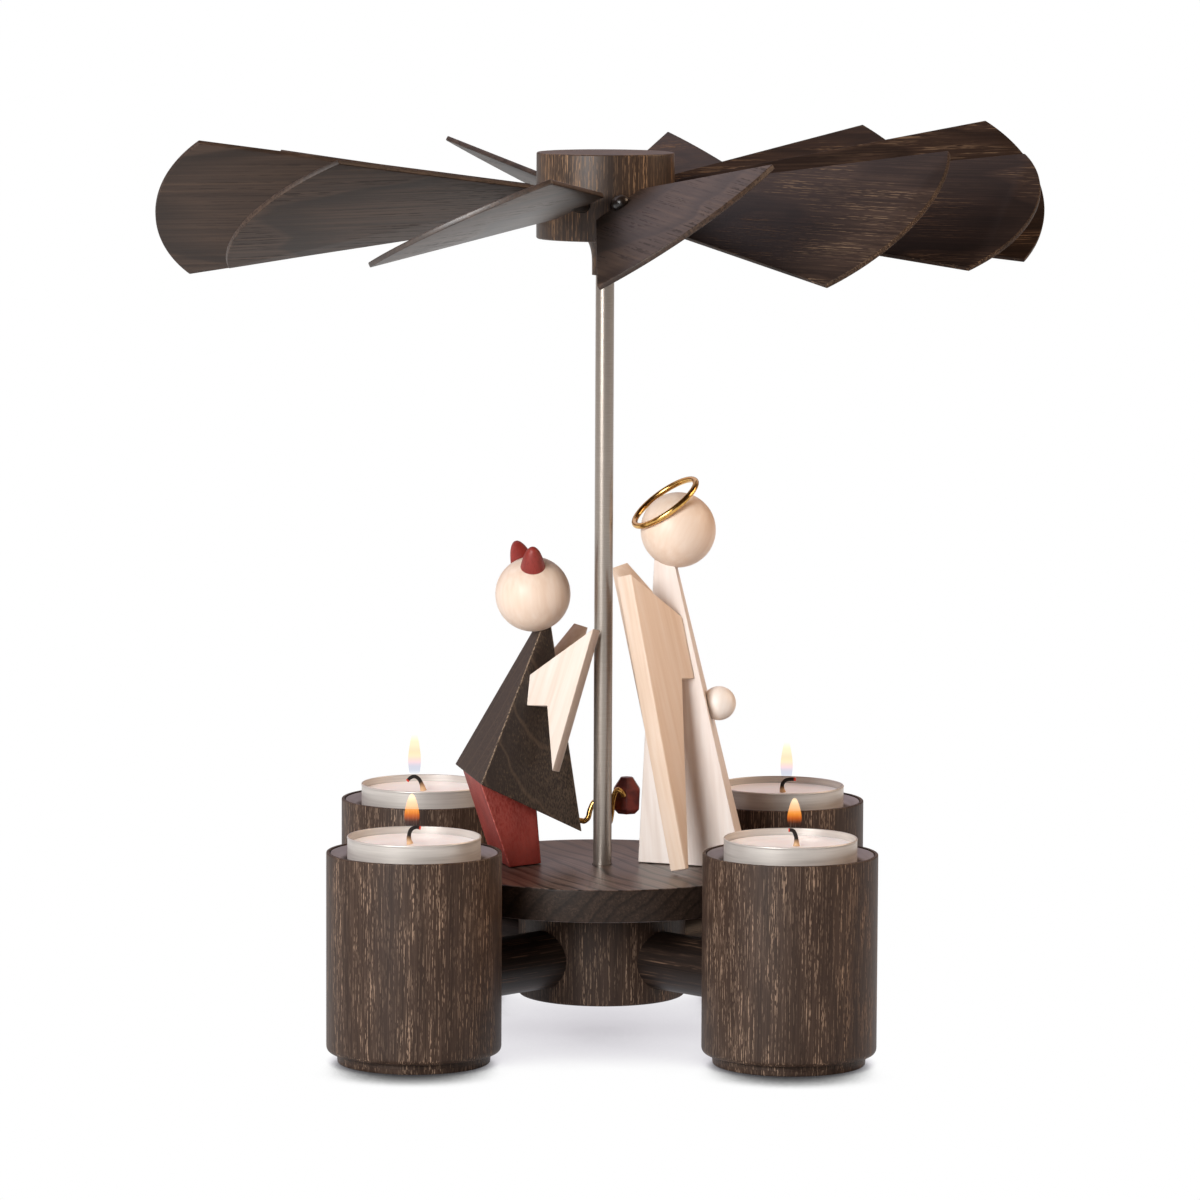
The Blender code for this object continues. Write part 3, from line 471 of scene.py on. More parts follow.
# Every turned profile below is a row of corners: radius, height and rounding in mm.
# Base body: a plain turned drum with a bore for the bearing.
base = {
    "radius": 24.4, "pith": (34, 22, 400),
    "profile": [(0, 10.7), (24.4, 10.7, 0.9), (24.4, 38.6, 0.6), (4.2, 38.6, 0.2), (4.2, 16.0), (0, 16.0)]}
mesh = meshOf("baseDrum", [turnedGrid(roundedLine(base["profile"]), 160)])
setGrain(mesh, (0, 0, 1), base["pith"])
addPiece(mesh, ashTurned, "base", "smoked_ash", "base_body")

# Dowel arms: a rod whose ends are hollowed to sit on the drum and on the holder.
# x runs from sqrt(drum^2 - y^2) to reach - sqrt(holder^2 - y^2); the rings shrink to a point at both ends.
arm = {"radius": 8.45, "height": 23.3, "holder": 25.0, "reach": 53.5 * sqrt(2), "gap": 0.1, "endRows": 7,
       "rows": 11}
angle = aroundCircle(64)
grow = np.linspace(0, 1, arm["endRows"])
shrink = np.concatenate([grow, np.ones(arm["rows"]), 1 - grow])[:, None]
along = np.concatenate([0 * grow, np.linspace(0, 1, arm["rows"]), 0 * grow + 1])[:, None]
y, z = shrink * arm["radius"] * np.sin(angle), shrink * arm["radius"] * np.cos(angle)
inner = np.sqrt((base["radius"] + arm["gap"]) ** 2 - y ** 2)
outer = arm["reach"] - np.sqrt((arm["holder"] + arm["gap"]) ** 2 - y ** 2)
armGrid = np.stack([inner + (outer - inner) * along, y, z + arm["height"]], -1) * mm
for number in range(1, 5):
    turn = pi * (2 * number + 3) / 4
    grid = armGrid @ np.array([[cos(turn), sin(turn), 0], [-sin(turn), cos(turn), 0], [0, 0, 1]])
    mesh = meshOf(f"armDowel{number}", [grid])
    setGrain(mesh, (cos(turn), sin(turn), 0), (14 + 3 * number, 9, 120 * number), (0, 0, 0.023), (0, 0, 1))
    addPiece(mesh, ashDowel, "base", "smoked_ash", f"arm_{number}")

# Candle holders: a turned cylinder on a narrower foot, with a stepped recess for the pressed dish.
holder = {
    "places": [(-53.5, -53.5), (53.5, -53.5), (53.5, 53.5), (-53.5, 53.5)],
    "pith": [(-52, 30, 10), (46, 42, 210), (60, -30, 520), (-40, -52, 760)], "fibre": (0.012, 0.008, 1),
    "wood": [(0, 0), (21.8, 0, 0.4), (21.9, 1.5), (22.0, 1.6), (22.0, 3.0, 0.1), (25.0, 3.0, 1.9),
             (25.0, 60.5, 0.45), (24.0, 60.5, 0.25), (24.0, 59.3), (21.2, 57.3), (21.2, 46.6), (0, 46.6)],
    "dish": [(0, 46.9), (20.9, 46.9, 1.0), (20.9, 57.6, 0.5), (23.75, 59.6, 0.1), (23.75, 60.25, 0.25),
             (20.3, 58.2, 0.9), (20.3, 47.5, 1.2), (0, 47.5)]}
for number, ((x, y), pith) in enumerate(zip(holder["places"], holder["pith"]), 1):
    centre = (x * mm, y * mm)
    mesh = meshOf(f"holderTurned{number}", [turnedGrid(roundedLine(holder["wood"], 8), 160, centre)])
    setGrain(mesh, holder["fibre"], pith, (*centre, 0))
    addPiece(mesh, ashTurned, "base", "smoked_ash", f"holder_{number}")
    mesh = meshOf(f"holderDish{number}", [turnedGrid(roundedLine(holder["dish"], 8), 128, centre)])
    addPiece(mesh, aluminiumDish, "base", "liner_aluminium", f"holder_insert_{number}")
print("base made")

# Tealights: a pressed cup with a rolled rim, dished wax, a bent wick and its flame.
# A wick is its path from the wax up; a flame is its shift to the right, foot, height and radius, all in mm.
tealight = {
    "cup": [(0, 47.8), (19.0, 47.8, 1.2), (19.0, 64.2, 0.15), (19.15, 64.6, 0.2), (18.95, 65.0, 0.2),
            (18.6, 64.8, 0.15), (18.62, 64.2), (18.62, 48.2, 0.8), (0, 48.2)],
    "wax": [(0, 48.6), (18.3, 48.6, 0.6), (18.3, 62.9)], "waxLevel": 62.45, "waxRadius": 18.25,
    "wickRows": 48, "wickThick": ([0, 0.12, 0.3, 1], [1.0, 0.75, 0.58, 0.52]),
    "wicks": [[(-1.2, 62.6), (-1.5, 64.2), (-1.3, 65.9), (-0.6, 67.0), (0.6, 67.4), (1.9, 67.2)],
              [(1.7, 62.6), (1.7, 64.0), (1.5, 65.4), (1.0, 66.6), (0.3, 67.1), (-0.6, 67.1)],
              [(0.7, 62.6), (0.5, 63.9), (0.7, 65.3), (1.6, 66.3), (3.0, 66.6), (4.6, 66.6)],
              [(-0.4, 62.6), (-0.9, 64.4), (-1.8, 66.1), (-3.0, 66.9), (-4.3, 66.5), (-5.3, 65.5)]],
    "flames": [(-0.65, 67.4, 9.7, 2.35), (1.07, 67.6, 8.8, 2.25), (1.83, 66.8, 12.2, 2.0),
               (-3.1, 67.5, 13.4, 2.1)]}
cupProfile = roundedLine(tealight["cup"])
# The wax rises to its wall and to its wick: z = level + 0.45 (r / R)^10 + 0.25 exp(-(r / 1.1)^2).
r = np.linspace(tealight["waxRadius"], 0, 24)
waxTop = (tealight["waxLevel"] + 0.45 * (r / tealight["waxRadius"]) ** 10
          + 0.25 * np.exp(-(r / 1.1) ** 2))
waxProfile = np.concatenate([roundedLine(tealight["wax"]), np.stack([r, waxTop], 1) * mm])
wickThick = np.interp(np.linspace(0, 1, tealight["wickRows"]), *tealight["wickThick"]) * mm
# A flame is full low down with a soft point on top: r = R (0.69 + 0.43 sin) sqrt(1 - h^2.6) (1 - 0.35 h).
h = np.linspace(0, 1, 40)
swell = 1.12 * (0.62 + 0.38 * np.sin(pi * np.clip(h / 0.5, 0, 1) / 2))
flameShape = swell * np.sqrt(1 - h ** 2.6) * (1 - 0.35 * h) * np.clip(h / 0.04, 0, 1) ** 0.5
for number, (x, y) in enumerate(holder["places"], 1):
    centre, body = (x * mm, y * mm), f"tealight_{number}"
    mesh = meshOf(f"tealightCup{number}", [turnedGrid(cupProfile, 128, centre)])
    addPiece(mesh, aluminiumCup, body, "cup_aluminium", f"tealight_cup_{number}")
    mesh = meshOf(f"tealightWax{number}", [turnedGrid(waxProfile, 96, centre)])
    addPiece(mesh, waxWithPaintedGlow, body, "wax", f"wax_{number}")
    wick = [(a, 0, b) for a, b in tealight["wicks"][number - 1]]
    path = smoothPath(wick, tealight["wickRows"]) + np.array([*centre, 0])
    mesh = meshOf(f"tealightWick{number}", [tubeGrid(path, wickThick, 14)])
    nearest = np.argmin(((pointsOf(mesh)[:, None] - path[None]) ** 2).sum(-1), 1)
    setShare(mesh, "along", nearest / (tealight["wickRows"] - 1))
    addPiece(mesh, charredCotton, body, "wick_cotton", f"wick_{number}")
    shift, foot, tall, wide = tealight["flames"][number - 1]
    profile = np.stack([wide * flameShape, foot + tall * h], 1) * mm
    mesh = meshOf(f"tealightFlame{number}", [turnedGrid(profile, 32, (centre[0] + shift * mm, centre[1]))])
    setShare(mesh, "along", np.clip((pointsOf(mesh)[:, 2] / mm - foot) / tall, 0, 1))
    addPiece(mesh, candleFlame, body, "wax")
print("tealights made")

# Shaft: a rod with a point that stands in the bearing; platform: a flat disc on the shaft, whose rim
# takes a darker copy of the board's wood, painted shade for the side that the lamps light less than the top.
rotor = {
    "platformTop": 48.8, "fibre": (0.42, -0.91, 0.0), "pith": (110, 100, 900),
    "rod": [(0, 17.6), (2.7, 22.6, 0.3), (2.7, 254.0, 0.4), (0, 254.0)],
    "disc": [(3.0, 39.3), (49.0, 39.3, 0.5), (49.0, 48.8, 0.5), (3.0, 48.8), (3.0, 39.3)]}
mesh = meshOf("shaftRod", [turnedGrid(roundedLine(rotor["rod"]), 64)])
addPiece(mesh, groundSteel, "rotor", "steel", "shaft")
mesh = meshOf("platformDisc", [turnedGrid(roundedLine(rotor["disc"]), 192)])
setGrain(mesh, rotor["fibre"], rotor["pith"], (0, 0, 0.044), (0, 0, 1))
addPiece(mesh, ashBoard, "rotor", "smoked_ash", "platform")
# Faces steeper than 60 degrees take the darker copy of the board, painted shade on the rim.
mesh.materials.append(ashBoardShadedRim)
for face in mesh.polygons:
    face.material_index = int(abs(face.normal.z) < 0.5)

# Hub: a drum with a hollow-curved neck below and one peg hole for each vane.
hub = {
    "neck": (3.8, 5.5), "flare": (223.6, 232.0), "pith": (28, 40, 1500),
    "collar": [(3.0, 221.5), (3.8, 221.5)],
    "drum": [(5.5, 232.0), (20.0, 232.0, 0.6), (20.0, 257.0, 0.6), (0, 257.0), (0, 254.3), (3.0, 254.3),
             (3.0, 221.5)]}
vane = {
    "pitches": (41.2, 41.4, 32.6, 27.2, 22.0, 26.0, 42.8, 32.2, 24.3, 34.2, 37.4, 30.7),
    "turns": (11.1, 39.8, 69.5, 101.3, 130.4, 160.4, 188.1, 221.4, 250.6, 280.6, 310.8, 338.3),
    "rises": (1.3, -0.3, -0.3, 0.2, 0.0, 0.0, -0.7, 0.0, -0.2, -0.4, 0.1, 0.0), "axis": 242.6,
    "inner": (22.5, 8.0), "outer": (119.2, 29.2), "endRadius": 44.0, "thick": 1.5, "edge": 0.3,
    "worn": 0.22, "wornWide": 0.2, "wornFrom": 100.0, "pale": (4, 5, 6, 7, 8, 10), "sheen": 9,
    "hole": [(0, 11.3), (2.3, 11.3), (2.3, 21.5), (0, 21.5)]}
(thin, thick), (low, high) = hub["neck"], hub["flare"]
t = np.linspace(0, 1, 16)[:, None]  # the neck flares with the cube of its height
neck = np.concatenate([thin + (thick - thin) * t ** 3, low + (high - low) * t], 1) * mm
profile = np.concatenate([roundedLine(hub["collar"]), neck, roundedLine(hub["drum"])[1:]])
drumMesh = meshOf("drum", [turnedGrid(profile, 192)])
lying = np.array([[0, 0, -1], [0, 1, 0], [1, 0, 0]])  # turns a piece made round z so that it lies along x
holeGrid = turnedGrid(roundedLine(vane["hole"]), 40) @ lying
vanePlaces = []
for turn, rise in zip(vane["turns"], vane["rises"]):
    vanePlaces.append(Matrix.Translation((0, 0, vane["axis"] * mm))
                      @ Matrix.Rotation(radians(turn), 4, "Z") @ Matrix.Rotation(-radians(rise), 4, "Y"))
holes = [holeGrid @ np.array(spot.to_3x3()).T + np.array(spot.translation) for spot in vanePlaces]
drum = bpy.data.objects.new("drum", drumMesh)
cutter = bpy.data.objects.new("cutter", meshOf("holes", holes))
link(drum)
link(cutter)
drilled = drum.modifiers.new("holes", "BOOLEAN")
drilled.object, drilled.operation, drilled.solver = cutter, "DIFFERENCE", "EXACT"
bpy.context.view_layer.update()
mesh = bpy.data.meshes.new_from_object(drum.evaluated_get(bpy.context.evaluated_depsgraph_get()))
bpy.data.objects.remove(drum)
bpy.data.objects.remove(cutter)
mesh.name = "hubDrum"
mesh.materials.clear()
tidyMesh(mesh)
setGrain(mesh, (0.01, 0.0, 1), hub["pith"], (0, 0, 0.24))
addPiece(mesh, ashHub, "rotor", "smoked_ash", "hub")
print("rotor made")

# Vanes: a veneer blade whose rounded end is worn pale, on a dowel peg that bends up onto the blade's
# upper face beyond the hub and ends in a round knob. Each blade comes from another place in the log.
half = np.arcsin(vane["outer"][1] / vane["endRadius"])
arc = np.linspace(-half, half, 41)
endCentre = vane["outer"][0] - vane["endRadius"] * np.cos(half)
innerReach, innerHalf = vane["inner"]
roundEnd = np.stack([endCentre + vane["endRadius"] * np.cos(arc), vane["endRadius"] * np.sin(arc)], 1)
bladeOutline = np.concatenate([[[innerReach, -innerHalf]], roundEnd, [[innerReach, innerHalf]]])
bladeMesh = plateMesh("blade", bladeOutline.tolist(), vane["thick"], vane["edge"],
                      Matrix.Translation((0, 0, vane["thick"] * mm / 2)))
peg = {"inner": 11.5, "bend": 20.5, "outer": 29.0, "lift": 1.5, "radius": 2.2, "knob": 2.5, "rows": 24}
dome = np.linspace(0, pi / 2, 10)[1:]
pegAlong = np.concatenate([np.linspace(peg["inner"], peg["outer"], peg["rows"]),
                           peg["outer"] + peg["knob"] * np.sin(dome)])
bend = np.clip((pegAlong - peg["bend"]) / (peg["outer"] - peg["bend"]), 0, 1)
pegThick = peg["radius"] + (peg["knob"] - peg["radius"]) * bend
pegThick[peg["rows"]:] = peg["knob"] * np.cos(dome)
pegPath = np.stack([pegAlong, 0 * bend, peg["lift"] * bend * bend * (3 - 2 * bend)], 1)
pegMesh = meshOf("peg", [tubeGrid(pegPath * mm, pegThick * mm, 32)])
bladeX, bladeY = pointsOf(bladeMesh)[:, 0] / mm, pointsOf(bladeMesh)[:, 1] / mm
rim = np.abs(np.hypot(bladeX - endCentre, bladeY) - vane["endRadius"]) < vane["wornWide"]
setShare(bladeMesh, "worn", vane["worn"] * rim * (bladeX > vane["wornFrom"]))
for number, (pitch, spot) in enumerate(zip(vane["pitches"], vanePlaces), 1):
    body, toPlace = f"vane_body_{number:02d}", spot @ Matrix.Rotation(radians(pitch), 4, "X")
    wood = ashVaneLight if number in vane["pale"] else ashVane
    if number == vane["sheen"]:
        wood = ashVaneSheen
    mesh = bladeMesh.copy()
    mesh.name = f"vaneBlade{number:02d}"
    log = (6 * (number % 5) - 12, 24 + 5 * (number % 4), 300 * number)
    setGrain(mesh, (1, 0, 0), log, across=(0, 1, 0))
    mesh.transform(toPlace)
    addPiece(mesh, wood, body, "smoked_ash_vane", f"vane_{number:02d}")
    mesh = pegMesh.copy()
    mesh.name = f"vanePeg{number:02d}"
    setGrain(mesh, (1, 0, 0), (3, 2, 40 * number), across=(0, 1, 0))
    mesh.transform(toPlace)
    addPiece(mesh, ashPeg, body, "smoked_ash_vane")
print("vanes made")

# Figures: local x is forward, y is left, z is up from the platform.
figures = {"head": 11.0, "rounding": 0.5, "foot": 0.3, "worn": 0.5, "sharp": 30}
onPlatform = Matrix.Translation((0, 0, rotor["platformTop"] * mm))


def standing(look):  # from a figure's own coordinates to its place on the platform
    return (onPlatform @ Matrix.Translation((*np.array(look["place"]) * mm, 0))
            @ Matrix.Rotation(radians(look["turn"]), 4, "Z"))


def mirrored(front, back, height):  # corners (forward, half width) on the left, then back along the right
    left = np.array([(*front, height), (*back, height)], float)
    return np.concatenate([left, left[::-1] * (1, -1, 1)]) * mm


def roundedLoop(corners, radius, steps=5):  # a closed loop whose corners are quadratic Beziers
    back, ahead = np.roll(corners, 1, 0), np.roll(corners, -1, 0)
    t = np.linspace(0, 1, steps)[None, :, None]
    first = (corners + unit(back - corners) * radius * mm)[:, None]
    last = (corners + unit(ahead - corners) * radius * mm)[:, None]
    return bezier(first, corners[:, None], last, t).reshape(-1, 3)


def easedEnd(loop, beyond, edge, steps=5):  # rings from the middle of an end face to its walls
    middle = loop.mean(0)
    inward, along = unit(middle - loop) * edge * mm, unit(beyond - loop) * edge * mm
    t = np.linspace(0, 1, steps)[:, None, None]
    rings = bezier(loop + inward, loop, loop + along, t)
    return np.concatenate([np.broadcast_to(middle, loop.shape)[None], rings])


def ballSeat(loop, beyond, centre, steps=6):  # the side lines stop on the head and the end follows its ball
    radius = figures["head"] * mm + seatGap
    way, start = beyond - loop, loop - centre
    a, b, c = (way ** 2).sum(1), 2 * (way * start).sum(1), (start ** 2).sum(1) - radius ** 2
    share = (-b - np.sqrt(np.maximum(b * b - 4 * a * c, 0))) / (2 * a)
    ring = loop + way * share[:, None]
    pole = unit((ring - centre).mean(0))
    t = np.linspace(0, 1, steps)[:, None, None]
    return centre + radius * unit((1 - t) * unit(ring - centre) + t * pole)


def carvedMesh(name, lowLoop, highLoop, edge, head=None, topRounding=0.5, topEdge=0.2):
    # A block between two corner loops with an eased foot; its top is eased too, or seated on the head.
    low, high = roundedLoop(lowLoop, figures["rounding"]), roundedLoop(highLoop, topRounding)
    top = easedEnd(high, low, topEdge)[::-1] if head is None else ballSeat(low, high, head)
    return meshOf(name, [np.concatenate([easedEnd(low, high, edge), top])], figures["sharp"])


def setWorn(mesh, corners):  # 1 on the lines between two matching corner loops, fading to the sides
    points = pointsOf(mesh)
    nearest = np.full(len(points), np.inf)
    for low, high in zip(*corners):
        way = high - low
        share = np.clip((points - low) @ way / (way @ way), 0, 1)
        nearest = np.minimum(nearest, np.linalg.norm(points - low - share[:, None] * way, axis=1))
    setShare(mesh, "worn", np.clip(1.7 * (1 - nearest / (figures["worn"] * mm)), 0, 1))


def sidePlane(points, inner, gap):  # the flat side through three points, pushed out past them all
    normal = unit(np.cross(points[1] - points[0], points[2] - points[0]))
    normal = normal if normal @ (points[0] - inner) > 0 else -normal
    return Vector(normal * ((points @ normal).max() + gap)), Vector(normal)


def addHead(name, look, toFigure, node):
    centre = np.array(look["head"]) * mm
    mesh = meshOf(name, [turnedBall(figures["head"] * mm, centre)])
    setGrain(mesh, look["headFibre"], look["headPith"], centre)
    mesh.transform(toFigure)
    addPiece(mesh, mapleBall, "rotor", "maple", node)


def addWings(figure, look, loops, toFigure):
    # A board on each flat side between two loops; its front face is swept back and leans a little up.
    sweep, lean = radians(look["sweep"]), radians(look["lean"])
    for end, side in (("Left", 1), ("Right", -1)):
        face = Vector((cos(lean) * cos(sweep), side * cos(lean) * sin(sweep), sin(lean)))
        across = Vector((-sin(sweep), side * cos(sweep), 0))
        spot = Vector((look["anchor"][0], side * look["anchor"][1], look["anchor"][2]))
        if side == look["farSide"]:
            spot += Vector(look["farShift"])
        columns = Matrix((across, face.cross(across) * side, face)).transposed().to_4x4()
        toPlace = Matrix.Translation(spot * mm) @ columns
        wall = np.concatenate([loop[:2] if side > 0 else loop[2:] for loop in loops])
        plane = sidePlane(wall, np.array(look["inside"]), seatGap)
        mesh = plateMesh(f"{figure}Wing{end}", look["outline"], look["thick"], look["edge"], toPlace, plane)
        pithX, pithY, pithZ = look["pith"]
        setGrain(mesh, toPlace.to_3x3() @ Vector(look["fibre"]), (pithX + 20 * side, pithY, pithZ))
        mesh.transform(toFigure)
        # A far wing may take a darker maple than the near one, which is painted shade.
        addPiece(mesh, look["wood"][side], "rotor", "maple", f"{figure}_wing_{end.lower()}")


# Devil: a dark carved coat over red trousers, a ball head, horns, wings, a brass tail with a cut bead.
devil = {
    "place": (-24.56, 2.42), "turn": 196.0, "head": (-4.1, 0, 79.1), "headFibre": (0.1, 0, 1),
    "headPith": (30, 9, 70), "hem": (18.68, 0.5144, -0.0663), "coatFront": (15.4, 15.0),
    "coatBack": (-17.7, 5.6), "topFront": (-7.1, 2.64), "topBack": (-8.85, 2.05), "top": 72.0,
    "coatEdge": 0.35, "toe": (5.5, 10.3), "heel": (-5.5, 5.4), "hipFront": (14.3, 10.3),
    "hipBack": (-4.1, 5.4), "hipGap": 0.2, "hornLean": (0.154, 0.538, 0.828), "hornReach": 17.7, "horn": 3.6,
    "tail": [(-7.46, 7.32, 11.9), (-6.0, 8.0, 11.6), (-5.3, 8.2, 11.5), (-4.2, 8.5, 12.5),
             (-3.6, 8.8, 14.8), (-2.4, 9.1, 17.0), (-0.8, 9.1, 16.8), (0.6, 8.9, 14.3), (1.4, 8.5, 11.8),
             (2.1, 7.9, 11.2), (2.6, 7.2, 13.5), (3.0, 6.7, 17.2), (3.6, 6.2, 20.0), (4.5, 5.9, 21.1),
             (5.4, 5.9, 20.6), (6.0, 6.1, 19.8), (6.2, 6.3, 19.2)],
    "wire": 0.8, "bead": (7.1, 11.2, 18.8), "beadSize": (4.5, 5.4), "beadEdge": 0.25}
devilWing = {
    "anchor": (-1.38, 6.24, 56.09), "sweep": 48.6, "lean": 11.5, "thick": 5.0, "edge": 0.22,
    "outline": [(-6.0, -4.6), (19.2, 14.65), (10.2, -27.5), (6.6, -8.6), (-6.0, -9.2)],
    "farSide": -1, "farShift": (-3.4, 0.9, -2.1), "inside": (0, 0, 0.04), "fibre": (0.25, 1, 0),
    # The far wing takes the warmer, darker board maple as painted shade; both wings are the same pale maple.
    "pith": (10, 30, 15), "wood": {1: maplePale, -1: mapleBoard}}
devilMatrix = standing(devil)


def hemLine(front, back, below=0.0):  # corners brought to the sloping hem: z = level + slope x + tilt y
    level, slope, tilt = devil["hem"]
    loop = mirrored(front, back, 0)
    loop[:, 2] = (level - below) * mm + slope * loop[:, 0] + tilt * loop[:, 1]
    return loop


headCentre = np.array(devil["head"]) * mm
hemLoop = hemLine(devil["coatFront"], devil["coatBack"])
topLoop = mirrored(devil["topFront"], devil["topBack"], devil["top"])
mesh = carvedMesh("devilCoat", hemLoop, topLoop, devil["coatEdge"], headCentre)
setGrain(mesh, (-0.1, 0.2, 1), (0, 44, 40), across=(1, 0, 0))
setWorn(mesh, (hemLoop, topLoop))
mesh.transform(devilMatrix)
addPiece(mesh, ashCarved, "rotor", "smoked_ash", "devil_coat")

shoeLoop = mirrored(devil["toe"], devil["heel"], figures["foot"])
hipLoop = hemLine(devil["hipFront"], devil["hipBack"], devil["hipGap"])
mesh = carvedMesh("devilTrousers", shoeLoop, hipLoop, figures["foot"])
setGrain(mesh, (0, 0, 1))
setWorn(mesh, (shoeLoop, hipLoop))
mesh.transform(devilMatrix)
addPiece(mesh, redStain, "rotor", "red_paint", "devil_trousers")
addHead("devilHead", devil, devilMatrix, "devil_head")

# Horn: r = R (1 - 0.44 s) sqrt(1 - s^4) along its length s, standing on the ball.
hornSeat = figures["head"] + 0.1
hornFoot = np.linspace(0, devil["horn"], 6)
hornStart = sqrt(hornSeat ** 2 - devil["horn"] ** 2)
s = np.linspace(0, 1, 28)
hornWide = devil["horn"] * (1 - 0.44 * s) * np.sqrt(1 - s ** 4)
hornHigh = hornStart + (devil["hornReach"] - hornStart) * s
hornFoot = np.stack([hornFoot, np.sqrt(hornSeat ** 2 - hornFoot ** 2)], 1)
hornProfile = np.concatenate([hornFoot, np.stack([hornWide, hornHigh], 1)[1:]])
leanX, leanY, leanZ = devil["hornLean"]
for end, side in (("Left", 1), ("Right", -1)):
    upright = Vector((leanX, side * leanY, leanZ)).to_track_quat("Z", "Y").to_matrix().to_4x4()
    mesh = meshOf(f"devilHorn{end}", [turnedGrid(hornProfile * mm, 48)])
    setGrain(mesh, (0, 0, 1), (20 + 30 * side, 10, 5))
    mesh.transform(devilMatrix @ Matrix.Translation(headCentre) @ upright)
    addPiece(mesh, redStain, "rotor", "red_paint", f"devil_horn_{end.lower()}")
addWings("devil", devilWing, (hemLoop, topLoop), devilMatrix)

mesh = meshOf("devilTail", [tubeGrid(smoothPath(devil["tail"], 160), devil["wire"] * mm, 20)])
mesh.transform(onPlatform)
addPiece(mesh, brassWire, "rotor", "brass", "devil_tail")
angle = (np.arange(6) + 0.5) * pi / 3  # bead: six flat cuts round it, narrowed at both ends
beadRings = np.array([[0, 1.0], [0.44, 1.0], [1.0, 0.34], [0.94, -0.74], [0.62, -1.0], [0, -1.0]])
r, z = (beadRings * devil["beadSize"]).T[..., None]
grid = np.stack([r * np.cos(angle), r * np.sin(angle), z + 0 * angle], -1) * mm
mesh = meshOf("devilTailBead", [grid], 10)
work = bmesh.new()
work.from_mesh(mesh)
easeEdges(work, devil["beadEdge"] * mm)
work.to_mesh(mesh)
work.free()
mesh.transform(onPlatform @ Matrix.Translation(np.array(devil["bead"]) * mm))
addPiece(mesh, redLacquer, "rotor", "dark_red_paint", "devil_tail_tip")
print("devil made")

# Angel: a whitened gown, a ball head, a brass ring, long wings and a ball held in front.
angel = {
    "place": (24.0, 4.6), "turn": -4.0, "head": (-2.3, 0, 98.0), "headFibre": (0.5, 0.2, 1),
    "headPith": (25, 14, 190), "front": (18.1, 12.5), "back": (-13.3, 3.0), "top": 92.0,
    "topFront": (-3.9, 3.4), "topBack": (-9.05, 1.55), "topRounding": 0.4, "inside": (0, 0, 0.045),
    "halo": 10.8, "wire": 0.9, "haloNormal": (-0.57, -0.20, 0.80), "haloBack": 1.8, "haloForward": 1.5,
    "ball": 5.0, "ballHeight": 47.16, "ballReach": 3.1}
angelWing = {
    "anchor": (-0.28, 4.77, 72.64), "sweep": 40.1, "lean": 12.7, "thick": 6.0, "edge": 0.25,
    "outline": [(-6.0, -4.55), (19.04, 14.43), (15.49, -72.3), (14.04, -72.4), (4.45, -17.38),
                (-8.0, -18.5)],
    "farSide": 1, "farShift": (-3.3, 0, -0.3), "inside": angel["inside"], "fibre": (0.1, 1, 0),
    "pith": (14, 30, 95), "wood": {1: mapleBoard, -1: mapleBoard}}
angelMatrix = standing(angel)
headCentre = np.array(angel["head"]) * mm
baseLoop = mirrored(angel["front"], angel["back"], figures["foot"])
topLoop = mirrored(angel["topFront"], angel["topBack"], angel["top"])
mesh = carvedMesh("angelGown", baseLoop, topLoop, figures["foot"], headCentre, angel["topRounding"])
setGrain(mesh, (-0.1, 0, 1), (40, 12, 33))
mesh.transform(angelMatrix)
addPiece(mesh, mapleStained, "rotor", "white_stained_wood", "angel_gown")
addHead("angelHead", angel, angelMatrix, "angel_head")
addWings("angel", angelWing, (baseLoop, topLoop), angelMatrix)

share = (angel["ballHeight"] - figures["foot"]) / (angel["top"] - figures["foot"])
gownFront = angel["front"][0] + (angel["topFront"][0] - angel["front"][0]) * share
ballCentre = np.array([gownFront + angel["ballReach"], 0, angel["ballHeight"]]) * mm
frontWall = np.array([baseLoop[0], baseLoop[3], topLoop[0]])
wallPoint, wallNormal = map(np.array, sidePlane(frontWall, np.array(angel["inside"]), seatGap))
grid = turnedBall(angel["ball"] * mm, ballCentre, 40, 48)
depth = (grid - wallPoint) @ wallNormal
grid = grid - np.minimum(depth, 0)[..., None] * wallNormal  # flattened where it meets the gown
mesh = meshOf("angelBall", [grid], 50)
setGrain(mesh, (0.2, 0.3, 1), (18, 6, 260), ballCentre)
mesh.transform(angelMatrix)
# The ball takes the paler copy of the maple: painted light.
addPiece(mesh, maplePaintedLight, "rotor", "maple", "angel_ball")

# Halo: a torus, the wire's circle carried round the ring, touching the head at one side.
normal = Vector(angel["haloNormal"]).normalized()
away = (Vector((0, 1, 0)) - normal * normal.y).normalized()
nearReach = angel["halo"] - hypot(angel["haloBack"], angel["haloForward"])
lift = sqrt((figures["head"] + angel["wire"] + 0.1) ** 2 - nearReach ** 2)
ringAngle = np.linspace(0, 2 * pi, 145)[:, None]
wireAngle = aroundCircle(20)[None]
spread = angel["halo"] + angel["wire"] * np.cos(wireAngle)
x = spread * np.cos(ringAngle) + angel["haloBack"]
y = spread * np.sin(ringAngle) - angel["haloForward"]
grid = np.stack([x, y, lift + angel["wire"] * np.sin(wireAngle) + 0 * ringAngle], -1) * mm
mesh = meshOf("angelHalo", [grid])
upright = Matrix((away, normal.cross(away), normal)).transposed().to_4x4()
mesh.transform(Matrix.Translation(angelMatrix @ Vector(headCentre)) @ upright)
addPiece(mesh, brassWire, "rotor", "brass", "angel_halo")
print("angel made")

# The two bearing pieces inside the base keep their solids.
for node, material in (("bearing_cup", sodaGlass), ("guide_bush", brassWire)):
    nodes[node].data.materials.clear()
    nodes[node].data.materials.append(material)

